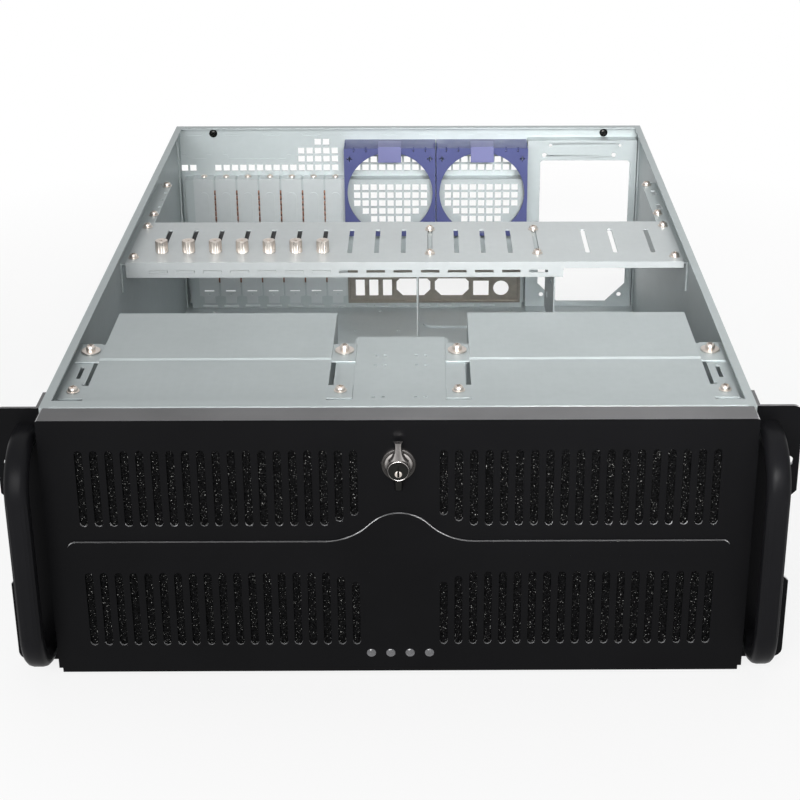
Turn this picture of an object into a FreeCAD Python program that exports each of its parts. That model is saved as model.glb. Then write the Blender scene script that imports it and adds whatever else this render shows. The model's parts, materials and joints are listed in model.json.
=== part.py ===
"""Empty rackmount server case, four rack units high, with its lid off.

The frame has +X to the right, the door facing -Y and +Z up.  The origin is the
centre of the underside of the tub.  All lengths are millimetres.
"""
import FreeCAD, Part
import math
import operator
import os

import Sketcher

SIZES = (
    # shell
    ("case_width", 427, "outer width of the tub"),
    ("case_depth", 600, "front edge to back face"),
    ("case_height", 176.5, "underside to top edge, four rack units less a gap"),
    ("sheet", 1.2, "thickness of the steel sheet"),
    ("hem_width", 5.5, "flange folded in along the top of each side wall"),
    ("play", 0.1, "gap left round a piece that is slid or pushed in"),
    ("over", 1, "how far a cutting tool runs past a face"),
    # pressed feet in the floor and board holes
    ("floor_pad_width", 48, "one pressed pad in the floor"),
    ("floor_pad_length", 35, "the same pad, front to back"),
    ("floor_pad_rise", 2, "how far the pads stand above the floor"),
    ("floor_pad_corner", 9, "corner radius of a pad"),
    ("floor_pad_pitch_x", 61.5, "pad to pad across the case"),
    ("floor_pad_pitch_y", 42.4, "pad to pad along the case"),
    ("floor_pad_left", 12.4, "left edge of the first pad"),
    ("floor_pad_back", 28.5, "back face to the first pad"),
    ("floor_pad_rows", 4, "pads along the case"),
    ("board_span_x", 281.94, "outer board screws across the case"),
    ("board_step_x", 124.46, "first to second board screw across the case"),
    ("board_span_y", 227.33, "outer board screws along the case"),
    ("board_step_y", 154.94, "first to second board screw along the case"),
    ("board_right", 96.5, "first board screw, from the middle of the case"),
    ("board_back", 23, "back face to the first row of board screws"),
    ("board_hole", 3.6, "diameter of a board screw hole"),
    ("floor_hole", 2.6, "diameter of a small hole in the floor"),
    ("floor_hole_back", 13, "back face to the first row of small holes"),
    ("floor_hole_row", 57, "first to second row of small holes"),
    # ears and handles
    ("rack_width", 482.6, "width over the rack ears"),
    ("ear_sheet", 2, "thickness of an ear"),
    ("ear_foot", 0.5, "underside of the tub to the foot of an ear"),
    ("ear_corner", 6, "corner radius of an ear"),
    ("ear_flange", 36, "how far an ear's flange reaches along the side wall"),
    ("ear_flange_cut", 14, "chamfer at the back ends of that flange"),
    ("ear_waist", 9, "depth of the waist in the ear's outer edge"),
    ("ear_waist_low", 56, "foot of the waist"),
    ("ear_waist_high", 119.5, "head of the waist"),
    ("rack_slot_pitch_x", 465.1, "rack slots across the case"),
    ("rack_slot_pitch_z", 101.6, "rack slots up the ear"),
    ("rack_slot_low", 38.1, "height of the lower rack slot"),
    ("rack_slot_length", 10.4, "length of a rack slot"),
    ("rack_slot_width", 6.8, "width of a rack slot"),
    ("handle_width", 14.2, "width of the grip"),
    ("handle_thickness", 11.5, "front to back of the grip"),
    ("handle_corner", 4.5, "rounding of the grip's edges"),
    ("handle_middle", 221.6, "middle of the case to the middle of the grip"),
    ("handle_reach", 44, "ear to the front of the grip"),
    ("handle_corner_faces", 3, "faces that round one edge of the grip"),
    ("handle_bend", 27, "bend radius of the grip's centre line"),
    ("handle_low", 15, "height of the lower foot"),
    ("handle_high", 161, "height of the upper foot"),
    ("handle_screw", 5, "shank of a handle screw"),
    ("handle_screw_head", 9, "head of a handle screw"),
    ("handle_screw_rise", 2.6, "height of that head"),
    ("handle_screw_depth", 9, "how deep the shank goes into the foot"),
    # door
    ("door_width", 424.6, "width of the door"),
    ("door_foot", 2.8, "underside of the tub to the foot of the door"),
    ("door_height", 173.6, "height of the door"),
    ("door_depth", 17.2, "depth of the door's folded edge"),
    ("door_gap", 0.3, "gap between door and front panel"),
    ("door_corner", 1.6, "rounding of the door's corners"),
    ("door_relief", 9, "height cut from the back of the door's sides at the hinge"),
    ("door_relief_depth", 4, "depth of that cut"),
    ("door_notch", 2.3, "width of the notch in the door's lower corners"),
    ("door_notch_height", 3, "height of that notch"),
    ("vent_end_faces", 4, "faces that round one end of a vent slot"),
    ("vent_pitch", 9, "vent slot to vent slot"),
    ("vent_width", 4.8, "width of a vent slot"),
    ("vent_inner", 26.8, "middle of the door to the first vent slot"),
    ("vent_count", 19, "vent slots in one group"),
    ("vent_upper_low", 105.8, "foot of the upper slots"),
    ("vent_upper_high", 156.8, "head of the upper slots"),
    ("vent_lower_low", 22.1, "foot of the lower slots"),
    ("vent_lower_high", 73.9, "head of the lower slots"),
    ("vent_short_first", 7, "how much shorter the slot nearest the boss is"),
    ("vent_short_second", 3, "how much shorter the next slot is"),
    ("band_half", 200, "half the length of the raised band"),
    ("band_height", 10, "height of the raised band"),
    ("band_middle", 90.6, "height of the band's middle"),
    ("band_rise", 1.4, "how far the band stands proud"),
    ("boss_radius", 24.3, "radius of the round boss in the band"),
    ("boss_blend", 38, "radius that leads the band into the boss"),
    ("filter_corner", 2, "corner radius of a window in the filter frame"),
    ("filter_inner", 21.5, "middle of the door to the filter"),
    ("filter_outer", 203, "middle of the door to the filter's far edge"),
    ("filter_low", 13, "foot of the filter"),
    ("filter_high", 166, "head of the filter"),
    ("filter_thickness", 5, "thickness of the foam filter"),
    ("filter_frame_rim", 9, "rim of the plate that holds the foam"),
    ("lens_width", 5.8, "diameter of an indicator lens"),
    ("lens_rise", 0.9, "how far a lens stands proud"),
    ("lens_length", 7, "length of a lens behind the door's face"),
    ("lens_pitch", 12, "lens to lens"),
    ("lens_height", 16, "height of the lenses"),
    # hinge and lock
    ("hinge_height", 8.5, "height of the hinge axis"),
    ("hinge_forward", 11.2, "hinge axis ahead of the front panel"),
    ("hinge_pin", 4, "diameter of a hinge pin"),
    ("hinge_play", 0.06, "play round a hinge pin"),
    ("hinge_pin_head", 7, "diameter of a hinge pin's head"),
    ("hinge_ear_round", 4.2, "radius round the pin of the hinge ear"),
    ("hinge_ear_height", 16, "height of the hinge ear's foot plate"),
    ("hinge_ear_width", 12, "width of the hinge ear's foot plate"),
    ("hinge_side_gap", 0.8, "gap between hinge ear and door side"),
    ("hinge_notch", 1, "room beside the hinge ear in the door's foot"),
    ("lock_height", 147.6, "height of the lock"),
    ("lock_flange", 21, "diameter of the lock's flange"),
    ("lock_flange_rise", 3.2, "how far the flange stands proud"),
    ("lock_barrel", 16, "diameter of the lock barrel"),
    ("lock_barrel_length", 8, "length of the barrel behind the door's face"),
    ("lock_core", 11, "diameter of the turning core"),
    ("lock_play", 0.05, "play round the turning core"),
    ("lock_nut_width", 20, "across the flats of the lock nut"),
    ("lock_nut_height", 3, "thickness of the lock nut"),
    ("lock_lever_rise", 6.8, "height of the lever above the flange"),
    ("lock_lever_up", 17, "reach of the lever's finger"),
    ("lock_lever_down", 15, "reach of the lever's tail"),
    ("lock_lever_tip", 4.6, "width of the lever's finger"),
    ("lock_hub", 12.6, "diameter of the lever's round hub"),
    ("lock_lever_neck", 3.6, "width of the finger's neck"),
    ("lock_neck_height", 10, "hub to the finger's neck"),
    ("lock_cam_width", 9, "width of the cam arm"),
    ("lock_cam_length", 19, "reach of the cam arm"),
    ("lock_cam_sheet", 2, "thickness of the cam arm"),
    ("keeper_width", 16, "width of the lock keeper"),
    ("keeper_low", 160.5, "foot of the keeper's lip"),
    ("keeper_height", 10, "height of the keeper"),
    # front panel, drive cages and bay covers
    ("rail_depth", 10, "depth of the rail along the top front edge"),
    ("deck_height", 169, "top of the deck that the cages hang from"),
    ("deck_depth", 113, "front edge to the back of the deck's arms"),
    ("deck_tongue", 30, "half width of the middle tongue"),
    ("deck_tongue_front", 14, "front edge to the raised part of the tongue"),
    ("deck_tongue_rise", 1, "how far the tongue is raised"),
    ("deck_slit_width", 4, "length of a small slit in the tongue"),
    ("deck_slit_height", 1.7, "front to back of such a slit"),
    ("deck_slit_first", 27, "front edge to the first slits"),
    ("deck_slit_second", 74.6, "front edge to the second slits"),
    ("deck_slit_third", 90, "front edge to the third slits"),
    ("deck_slit_side", 13, "middle of the case to a pair of slits"),
    ("deck_slit_step", 6, "slit to slit in a pair"),
    ("deck_arm_slot", 201.8, "middle of the case to the slot in the deck's arm"),
    ("deck_arm_slot_front", 58, "front edge to that slot"),
    ("deck_arm_slot_length", 18, "length of that slot"),
    ("deck_arm_slot_width", 2.6, "width of that slot"),
    ("deck_arm_hole", 196.5, "middle of the case to the hole beside that slot"),
    ("deck_arm_hole_back", 49, "front edge to that hole"),
    ("deck_tongue_depth", 121, "front edge to the end of the tongue"),
    ("cage_inner", 44.2, "middle of the case to a drive cage"),
    ("cage_width", 148.6, "width of a drive cage"),
    ("cage_height", 127.4, "height of a drive cage"),
    ("cage_back", 160, "front edge to the back of a cage"),
    ("cage_side_gap", 3, "gap between a cage and the deck's arms"),
    ("cage_step", 83, "front edge to the step in the cage's top"),
    ("cage_step_rise", 1, "height of that step"),
    ("cage_step_run", 1.6, "length of the slope up that step"),
    ("cage_slot_length", 12, "length of a drive screw slot"),
    ("cage_slot_width", 4, "height of a drive screw slot"),
    ("cage_slot_first", 50, "front edge to the first drive screw slots"),
    ("cage_slot_second", 95, "front edge to the second"),
    ("cage_slot_third", 130, "front edge to the third"),
    ("cage_tab_reach", 15.5, "how far a tab reaches past the cage"),
    ("cage_tab_front", 81, "front edge to the back pair of tabs"),
    ("cage_tab_length", 28, "length of a tab"),
    ("front_tab_back", 45, "front edge to the back of the front tabs"),
    ("front_tab_front", 26, "front edge to the front of the front tabs"),
    ("tab_screw_side", 7.8, "cage to the screws in its tabs"),
    ("clamp_screw_back", 97, "front edge to the big screws"),
    ("clamp_screw_head", 7.6, "head of a big screw"),
    ("clamp_screw_washer", 12.4, "washer of a big screw"),
    ("clamp_screw_rise", 4.2, "height of a big screw's head"),
    ("front_screw_back", 36.5, "front edge to the small screws"),
    ("screw_head", 6.2, "head of a small screw"),
    ("screw_rise", 2.6, "height of a small screw's head"),
    ("screw_washer", 8, "flange of a small screw"),
    ("washer_sheet", 0.8, "thickness of a screw's flange"),
    ("screw_shank", 3.5, "shank of a small screw"),
    ("screw_length", 5, "length of a shank below its seat"),
    ("bay_count", 3, "drive bays in one cage"),
    ("bay_cover_depth", 9, "how deep a bay cover reaches in"),
    ("bay_cover_lip", 1.6, "thickness of a bay cover's face"),
    ("bay_cover_gap", 0.4, "gap round a bay cover"),
    ("button_width", 11, "diameter of the power button"),
    ("button_small", 6, "diameter of the reset button"),
    ("button_travel", 2.5, "how far the power button goes in"),
    ("button_small_travel", 1.5, "how far the reset button goes in"),
    ("button_high", 62, "height of the power button"),
    ("button_low", 42, "height of the reset button"),
    ("button_play", 0.08, "play round a button"),
    ("button_proud", 4, "how far a button stands out at rest"),
    ("button_length", 6, "length of a button behind the panel"),
    ("button_stop", 1.2, "thickness of a button's stop flange"),
    ("button_stop_reach", 2.4, "how far that flange stands out round the button"),
    ("lamp_count", 4, "indicator lamps"),
    ("board_foot", 5, "diameter of a foot of the control board"),
    ("board_foot_inset", 4, "edge of the control board to the middle of a foot"),
    ("board_width", 60, "width of the control board"),
    ("board_low", 8, "foot of the control board"),
    ("board_high", 74, "head of the control board"),
    ("board_sheet", 1.6, "thickness of the control board"),
    ("board_off", 12, "front panel to the control board"),
    # card bar and drive brackets
    ("bar_front", 274, "front edge to the card bar"),
    ("bar_depth", 91, "front to back of the card bar"),
    ("bar_left", 208, "reach of the bar to the left"),
    ("bar_right", 209, "reach of the bar to the right"),
    ("bar_top", 165, "top of the card bar"),
    ("bar_lip", 12, "height of the bar's front lip"),
    ("bar_lip_short", 5, "height of that lip at its right end"),
    ("bar_lip_change", 119, "where the lip gets lower"),
    ("card_pitch", 20.32, "card slot to card slot"),
    ("card_first", -184, "first slot of the bar, from the middle"),
    ("card_count", 15, "slots in the bar"),
    ("bar_slot_width", 3.6, "width of a slot in the bar"),
    ("bar_slot_front", 20, "bar's front edge to its slots"),
    ("bar_slot_length", 53, "length of a slot in the bar"),
    ("bar_spare_first", 139, "first of the three slots at the right"),
    ("bar_spare_second", 160, "second of them"),
    ("bar_spare_third", 188.5, "third of them"),
    ("lip_slot_width", 14, "width of a slot in the bar's lip"),
    ("lip_slot_height", 2.3, "height of a slot in the bar's lip"),
    ("lip_slot_drop", 7.4, "bar's top to the middle of those slots"),
    ("thumb_count", 7, "thumbscrews on the bar"),
    ("slot_screw_rise", 1.5, "height of a slot cover screw's head"),
    ("thumb_width", 9.6, "diameter of a thumbscrew"),
    ("thumb_height", 9.5, "height of a thumbscrew"),
    ("thumb_back", 23.5, "bar's front edge to the thumbscrews"),
    ("bar_screw_side", 203.5, "middle of the case to the bar's end screws"),
    ("bar_screw_margin", 11, "bar's edge to its end screws"),
    ("bar_pair_margin", 18.5, "bar's edge to the drive bracket screws"),
    ("ledge_width", 12.3, "width of the ledge on the side wall"),
    ("ledge_back", 468, "front edge to the back of the ledge"),
    ("ledge_drop", 22, "height of the ledge's flange on the wall"),
    ("ledge_screw_front", 386.5, "front edge to the first spare screw"),
    ("ledge_screw_back", 461.5, "front edge to the second spare screw"),
    ("drive_width", 101.8, "gap between the drive brackets"),
    ("drive_drop", 70, "height of a drive bracket"),
    ("drive_first", 10.2, "left side of a drive, from the middle"),
    ("drive_flange", 16, "width of a drive bracket's flange"),
    ("drive_slot_drop", 26, "bar to the upper side slots, and from those to the lower"),
    ("drive_slot_front", 22, "bar's front edge to the first side slots"),
    ("drive_slot_pitch", 40, "first to second side slot"),
    ("drive_slot_length", 12, "length of a side slot"),
    ("ledge_window_front", 400, "front edge to the first window in the right ledge"),
    ("ledge_window_pitch", 35, "window to window"),
    ("ledge_window_length", 12, "length of a window"),
    ("ledge_window_width", 4, "width of a window"),
    ("ledge_hole", 2.4, "side of a small hole in the left ledge"),
    ("ledge_hole_front", 406, "front edge to the first small hole"),
    ("ledge_hole_pitch", 18, "small hole to small hole"),
    # rear panel
    ("rear_lip", 6, "flange along the rear panel's top"),
    ("rear_flange", 12, "flange down each side of the rear panel"),
    ("recess_left", 207, "reach of the card recess to the left"),
    ("recess_right", 106.5, "reach of the card recess to the right"),
    ("recess_height", 129, "top of the card recess"),
    ("recess_depth", 12, "how far the recess steps in"),
    ("cover_first", -190, "first slot cover, from the middle"),
    ("cover_count", 7, "slot covers"),
    ("cover_width", 18.4, "width of a slot cover"),
    ("cover_foot", 6.5, "foot of a slot cover"),
    ("cover_sheet", 0.9, "thickness of a slot cover"),
    ("cover_shoulder", 14, "foot of a cover's full width"),
    ("cover_tongue", 10, "width of a cover's foot"),
    ("cover_bead_width", 8.6, "width of the pressed bead"),
    ("cover_bead_low", 24, "foot of the pressed bead"),
    ("cover_bead_high", 117, "head of the pressed bead"),
    ("cover_bead_rise", 0.6, "rise of the pressed bead"),
    ("cover_slit_height", 18.9, "height of the slit in a cover's foot"),
    ("cover_slit_width", 9, "length of that slit"),
    ("cover_hole_height", 15.4, "height of the small hole below it"),
    ("cover_hole", 1.8, "width of that slit and hole"),
    ("window_width", 14, "width of the window behind a cover"),
    ("window_low", 16, "foot of that window"),
    ("window_high", 122, "head of that window"),
    ("strip_width", 1.3, "width of a shielding strip"),
    ("strip_low", 27, "foot of a shielding strip"),
    ("strip_high", 119, "head of a shielding strip"),
    ("foot_slot_width", 14, "width of a slot at the foot of the recess"),
    ("foot_slot_low", 2.6, "foot of those slots"),
    ("foot_slot_height", 1.7, "height of those slots"),
    ("foot_slot_count", 14, "slots at the foot of the recess"),
    ("port_width", 158.75, "width of the port shield's opening"),
    ("port_height", 44.45, "height of that opening"),
    ("port_left", -56, "left edge of that opening"),
    ("port_low", 9, "foot of that opening"),
    ("port_rim", 2.2, "rim of the port shield"),
    ("port_sheet", 0.5, "thickness of the port shield"),
    ("port_dish", 2, "depth of the shield's dished edge"),
    ("port_margin", 5, "foot of the shield's opening to the socket holes"),
    ("port_gap", 4.4, "socket hole to socket hole"),
    ("port_small", 8.5, "width of a small socket hole"),
    ("port_small_height", 16, "height of a small socket hole"),
    ("port_wide", 32, "width of a wide socket hole"),
    ("port_wide_height", 17, "height of a wide socket hole"),
    ("port_wide_slant", 6, "slant at the lower corners of a wide socket hole"),
    ("port_square", 14.6, "width of the square and of the round socket hole"),
    ("knockout_low", 146, "foot of the connector knock-outs"),
    ("knockout_height", 11, "height of a connector knock-out"),
    ("knockout_ear", 3.7, "size of a knock-out's ears"),
    ("knockout_slant", 5.2, "side of a knock-out to its straight foot"),
    ("knockout_depth", 0.5, "how deep a knock-out is half sheared"),
    ("knockout_small_left", -210, "left edge of the short knock-out"),
    ("knockout_small_width", 27, "width of the short knock-out"),
    ("knockout_wide_left", -172, "left edge of the long knock-out"),
    ("knockout_wide_width", 63, "width of the long knock-out"),
    ("grille_hole", 5.9, "side of a square hole in the rear panel"),
    ("grille_pitch", 7.75, "square hole to square hole"),
    ("grille_row", 136.9, "height of the lowest row above the recess"),
    ("grille_left", -177.1, "first hole of that row"),
    ("grille_count", 15, "holes in that row"),
    ("grille_ledge", 6, "least distance from the recess's ledge to a hole's middle"),
    ("grille_margin", 3, "fan bore's edge to the square holes"),
    ("fan_width", 83.3, "width of a fan bracket"),
    ("fan_height", 84.5, "height of a fan bracket"),
    ("fan_low", 79.5, "foot of a fan bracket"),
    ("fan_left", -58.7, "left edge of the first fan bracket"),
    ("fan_gap", 1, "gap between the fan brackets"),
    ("fan_front", 30, "back face to the front of a fan bracket"),
    ("fan_bore", 78, "bore of a fan bracket"),
    ("fan_rise", 41.5, "foot of a fan bracket to the middle of its bore"),
    ("fan_pocket", 80.4, "side of the square pocket for the fan"),
    ("fan_wall", 2.4, "thickness of a fan bracket's front"),
    ("fan_corner", 1.5, "radius of a fan bracket's edges"),
    ("fan_slit", 1.2, "width of a slit in a fan bracket"),
    ("fan_slit_depth", 3.4, "depth of a slit in its top edge"),
    ("fan_slit_inset", 9, "side of a fan bracket to its slits"),
    ("fan_slit_step", 11, "slit to slit"),
    ("fan_mark", 5, "length of a cross-shaped opening in its corner"),
    ("fan_mark_drop", 10, "top of a fan bracket to those openings"),
    ("clip_width", 21, "width of a fan clip"),
    ("clip_sheet", 2, "thickness of a fan clip"),
    ("clip_drop", 13, "how far a clip hangs over the front"),
    ("power_left", 109.6, "left edge of the power supply plate"),
    ("power_right", 210.4, "right edge of that plate"),
    ("power_high", 166, "head of that plate"),
    ("power_foot", 15, "how far the plate's foot reaches along the floor"),
    ("power_hole_left", 121.5, "left edge of the power supply opening"),
    ("power_hole_right", 204, "right edge of that opening"),
    ("power_hole_low", 7.5, "foot of that opening"),
    ("power_hole_high", 147, "head of that opening"),
    ("power_hole_chamfer", 18, "cut across its lower corners"),
    ("power_hole_round", 3, "rounding of its upper corners"),
    ("power_screw_left", 125, "left power supply screw holes"),
    ("power_screw_span", 64, "upper power supply screw holes across"),
    ("power_screw_shift", 10, "how much wider the lower pair of holes is"),
    ("power_screw_high", 152.2, "height of the upper power supply screw holes"),
    ("power_screw_drop", 138, "upper to lower power supply screw holes"),
    ("power_screw_hole", 4.2, "diameter of those holes"),
    ("power_rivet", 3, "diameter of a rivet hole at the plate's head"),
    ("power_rivet_drop", 4.6, "head of the plate to the rivet holes"),
    ("power_rivet_left", 21, "left edge of the plate to the first rivet hole"),
    ("lance_first", -198, "first oval of the rear panel's top strip"),
    ("lance_pitch", 36, "oval to oval"),
    ("lance_count", 12, "ovals in that strip"),
    ("lance_length", 17, "length of an oval"),
    ("lance_height", 4.4, "height of an oval"),
    ("lance_level", 170.2, "height of the ovals"),
    ("rear_screw_side", 180, "middle of the case to a dark rear screw"),
    ("rear_screw_head", 7.4, "head of a dark rear screw"),
)

os.makedirs("parts", exist_ok=True)
doc = FreeCAD.newDocument("server_case")
sheet = doc.addObject("Spreadsheet::Sheet", "sizes")
for row, (name, value, note) in enumerate(SIZES, start=1):
    sheet.set(f"A{row}", note)
    sheet.set(f"B{row}", str(value))
    sheet.setAlias(f"B{row}", name)
doc.recompute()


# ---------------------------------------------------------------- sizes

class Size:
    """A length that carries its value and the spreadsheet formula behind it."""

    def __init__(self, value, formula):
        self.value = value
        self.formula = formula

    def __add__(self, other):
        return combine(self, operator.add, "+", other)

    def __radd__(self, other):
        return combine(other, operator.add, "+", self)

    def __sub__(self, other):
        return combine(self, operator.sub, "-", other)

    def __rsub__(self, other):
        return combine(other, operator.sub, "-", self)

    def __mul__(self, other):
        return combine(self, operator.mul, "*", other)

    def __rmul__(self, other):
        return combine(other, operator.mul, "*", self)

    def __truediv__(self, other):
        return combine(self, operator.truediv, "/", other)

    def __neg__(self):
        return combine(0, operator.sub, "-", self)


def as_size(number):
    """Turn a plain number into a size; a size stays as it is."""
    if isinstance(number, Size):
        return number
    return Size(float(number), f"({number})")


def combine(left, action, sign, right):
    """Work out a formula of two sizes."""
    left = as_size(left)
    right = as_size(right)
    return Size(action(left.value, right.value), f"({left.formula} {sign} {right.formula})")


def root(number):
    """Square root of a size."""
    return Size(math.sqrt(number.value), f"sqrt({number.formula})")


def whole(number):
    """A size that counts something, as a plain whole number."""
    return int(number.value)


class Sizes:
    """Every size of the sheet, by name."""


size = Sizes()
for name, value, note in SIZES:
    setattr(size, name, Size(float(value), f"sizes.{name}"))


def bind(thing, target, number):
    """Tie a property of a document object to a size."""
    thing.setExpression(target, as_size(number).formula)


# ---------------------------------------------------------------- drawing

PLANES = {"top": ("XY_Plane", 1), "front": ("XZ_Plane", -1), "side": ("YZ_Plane", 1)}


def new_body(label):
    """Start a piece."""
    body = doc.addObject("PartDesign::Body", label)
    body.Label = label
    body.AllowCompound = True
    return body


def origin_part(body, role):
    """One of a body's own origin planes or axes."""
    return next(item for item in body.Origin.OriginFeatures if item.Role == role)


def point(x, y):
    """A sketch point at a size's value."""
    return FreeCAD.Vector(as_size(x).value, as_size(y).value, 0)


def outline(*corners):
    """A closed outline.  A corner is x, y, or x, y, arc centre x, centre y and turn."""
    return ("outline", corners)


def circle(x, y, diameter):
    """A full circle."""
    return ("circle", (x, y, diameter))


def rectangle(left, right, low, high):
    """A rectangle between two pairs of edges."""
    return outline((left, low), (right, low), (right, high), (left, high))


def rounded(left, right, low, high, radius):
    """A rectangle with round corners."""
    return outline(
        (left + radius, low),
        (right - radius, low, right - radius, low + radius, 1),
        (right, low + radius),
        (right, high - radius, right - radius, high - radius, 1),
        (right - radius, high),
        (left + radius, high, left + radius, high - radius, 1),
        (left, high - radius),
        (left, low + radius, left + radius, low + radius, 1),
    )


def upright_slot(x, low, high, width):
    """An upright slot with round ends."""
    half = width / 2
    return outline(
        (x + half, low + half),
        (x + half, high - half, x, high - half, 1),
        (x - half, high - half),
        (x - half, low + half, x, low + half, 1),
    )


def flat_slot(left, right, y, width):
    """A level slot with round ends."""
    half = width / 2
    return outline(
        (left + half, y - half),
        (right - half, y - half, right - half, y, 1),
        (right - half, y + half),
        (left + half, y + half, left + half, y, 1),
    )


def facet_corner(x, y, radius, start, turn, faces):
    """Points that round a corner with a few faces, from a start angle in degrees."""
    points = []
    for step in range(faces + 1):
        angle = math.radians(start + turn * step / faces)
        points.append((x + radius * round(math.cos(angle), 6), y + radius * round(math.sin(angle), 6)))
    return points


def few_faced_slot(x, low, high, width, faces):
    """An upright slot whose ends are rounded with a few faces, for long rows of slots."""
    half = width / 2
    return outline(*facet_corner(x, low + half, half, 180, 180, faces),
                   *facet_corner(x, high - half, half, 0, 180, faces))


def few_faced_bar(left, right, low, high, radius, faces):
    """The section of a bar whose edges are rounded with a few faces."""
    return outline(*facet_corner(left + radius, low + radius, radius, 180, 90, faces),
                   *facet_corner(right - radius, low + radius, radius, 270, 90, faces),
                   *facet_corner(right - radius, high - radius, radius, 0, 90, faces),
                   *facet_corner(left + radius, high - radius, radius, 90, 90, faces))


def arc_between(start, end, centre, turn):
    """The arc from start to end about a centre, anticlockwise for a turn of 1."""
    first, last = (start, end) if turn > 0 else (end, start)
    radius = (first - centre).Length
    begin = math.atan2(first.y - centre.y, first.x - centre.x)
    finish = math.atan2(last.y - centre.y, last.x - centre.x)
    if finish <= begin:
        finish += 2 * math.pi
    ring = Part.Circle(centre, FreeCAD.Vector(0, 0, 1), radius)
    return Part.ArcOfCircle(ring, begin, finish)


def add_outline(sketch, corners):
    """Draw one closed outline, each corner tied to its sizes."""
    base = sketch.GeometryCount
    count = len(corners)
    spots = [point(corner[0], corner[1]) for corner in corners]
    edges = []
    starts = []
    for index, corner in enumerate(corners):
        spot = spots[index]
        after = spots[(index + 1) % count]
        if len(corner) == 2:
            edges.append(Part.LineSegment(spot, after))
            starts.append((1, 2))
        else:
            turn = corner[4]
            edges.append(arc_between(spot, after, point(corner[2], corner[3]), turn))
            starts.append((1, 2) if turn > 0 else (2, 1))
    sketch.addGeometry(edges, False)
    rules = []
    sizes_of_rules = []
    for index, corner in enumerate(corners):
        follower = (index + 1) % count
        rules.append(Sketcher.Constraint(
            "Coincident", base + index, starts[index][1], base + follower, starts[follower][0]))
        sizes_of_rules.append(None)
        for kind, number in (("DistanceX", corner[0]), ("DistanceY", corner[1])):
            rules.append(Sketcher.Constraint(
                kind, -1, 1, base + index, starts[index][0], as_size(number).value))
            sizes_of_rules.append(number)
        if len(corner) > 2:
            chord = spots[follower] - spots[index]
            kind, number = ("DistanceY", corner[3])
            if abs(chord.y) > abs(chord.x):
                kind, number = ("DistanceX", corner[2])
            rules.append(Sketcher.Constraint(kind, -1, 1, base + index, 3, as_size(number).value))
            sizes_of_rules.append(number)
    add_rules(sketch, rules, sizes_of_rules)


def add_circle(sketch, x, y, diameter):
    """Draw one circle, tied to its sizes."""
    index = sketch.GeometryCount
    ring = Part.Circle(point(x, y), FreeCAD.Vector(0, 0, 1), as_size(diameter).value / 2)
    sketch.addGeometry([ring], False)
    rules = [
        Sketcher.Constraint("DistanceX", -1, 1, index, 3, as_size(x).value),
        Sketcher.Constraint("DistanceY", -1, 1, index, 3, as_size(y).value),
        Sketcher.Constraint("Diameter", index, as_size(diameter).value),
    ]
    add_rules(sketch, rules, [x, y, diameter])


def add_rules(sketch, rules, numbers):
    """Add constraints and tie those that have a size to it."""
    first = sketch.ConstraintCount
    sketch.addConstraint(rules)
    for offset, number in enumerate(numbers):
        if isinstance(number, Size):
            sketch.setExpression(f"Constraints[{first + offset}]", number.formula)


def draw(body, plane, at, shapes):
    """Draw shapes in a sketch that lies at a place along the plane's own axis."""
    role, normal = PLANES[plane]
    sketch = body.newObject("Sketcher::SketchObject", f"{body.Name}_sketch")
    sketch.AttachmentSupport = [(origin_part(body, role), "")]
    sketch.MapMode = "FlatFace"
    bind(sketch, "AttachmentOffset.Base.z", as_size(at) * normal)
    for kind, data in shapes:
        if kind == "circle":
            add_circle(sketch, *data)
        else:
            add_outline(sketch, data)
    return sketch


def pad(body, plane, start, end, *shapes):
    """Add material from start to end, along the plane's own axis."""
    feature = body.newObject("PartDesign::Pad", f"{body.Name}_pad")
    feature.Profile = draw(body, plane, start, shapes)
    bind(feature, "Length", as_size(end) - start)
    feature.Reversed = PLANES[plane][1] < 0
    body.Tip = feature
    return feature


def cut(body, plane, start, end, *shapes):
    """Remove material from start to end, along the plane's own axis."""
    sketch = draw(body, plane, start, shapes)
    feature = body.newObject("PartDesign::Pocket", f"{body.Name}_cut")
    feature.Refine = False
    feature.Profile = sketch
    bind(feature, "Length", as_size(end) - start)
    feature.Reversed = PLANES[plane][1] > 0
    body.Tip = feature
    return feature


def copies(body, feature, axis, pitch, count):
    """Repeat a feature along an axis."""
    pattern = body.newObject("PartDesign::LinearPattern", f"{body.Name}_copies")
    pattern.Originals = [feature]
    pattern.Refine = False
    pattern.Direction = (origin_part(body, f"{axis}_Axis"), [""])
    bind(pattern, "Length", pitch * (count - 1))
    bind(pattern, "Occurrences", count)
    body.Tip = pattern
    return pattern


def ordered(side, near, far):
    """The lower and upper place of a span that starts near the middle on one side."""
    if side > 0:
        return near, far
    return -far, -near


SIDES = (("left", -1), ("right", 1))
# Places of the small floor holes, across from the middle, in two rows from the back.
FLOOR_HOLES_BACK = (-196, -114, -67, 95)
FLOOR_HOLES_FRONT = (-50, -10)
# Square holes outside the rear panel's long row, in steps of the grille's pitch.
BESIDE_ROW = (3, 4)
CLUSTER_COLUMNS = (10, 11, 12, 13, 14)
CLUSTER_ROWS = (1.1, 2.1)
CLUSTER_CROWN = 3.2

half_width = size.case_width / 2
inner = half_width - size.sheet
front = -size.case_depth / 2
rear = size.case_depth / 2
top = size.case_height
floor = size.sheet
hem_edge = half_width - size.hem_width


# ---------------------------------------------------------------- tub and ears

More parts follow.
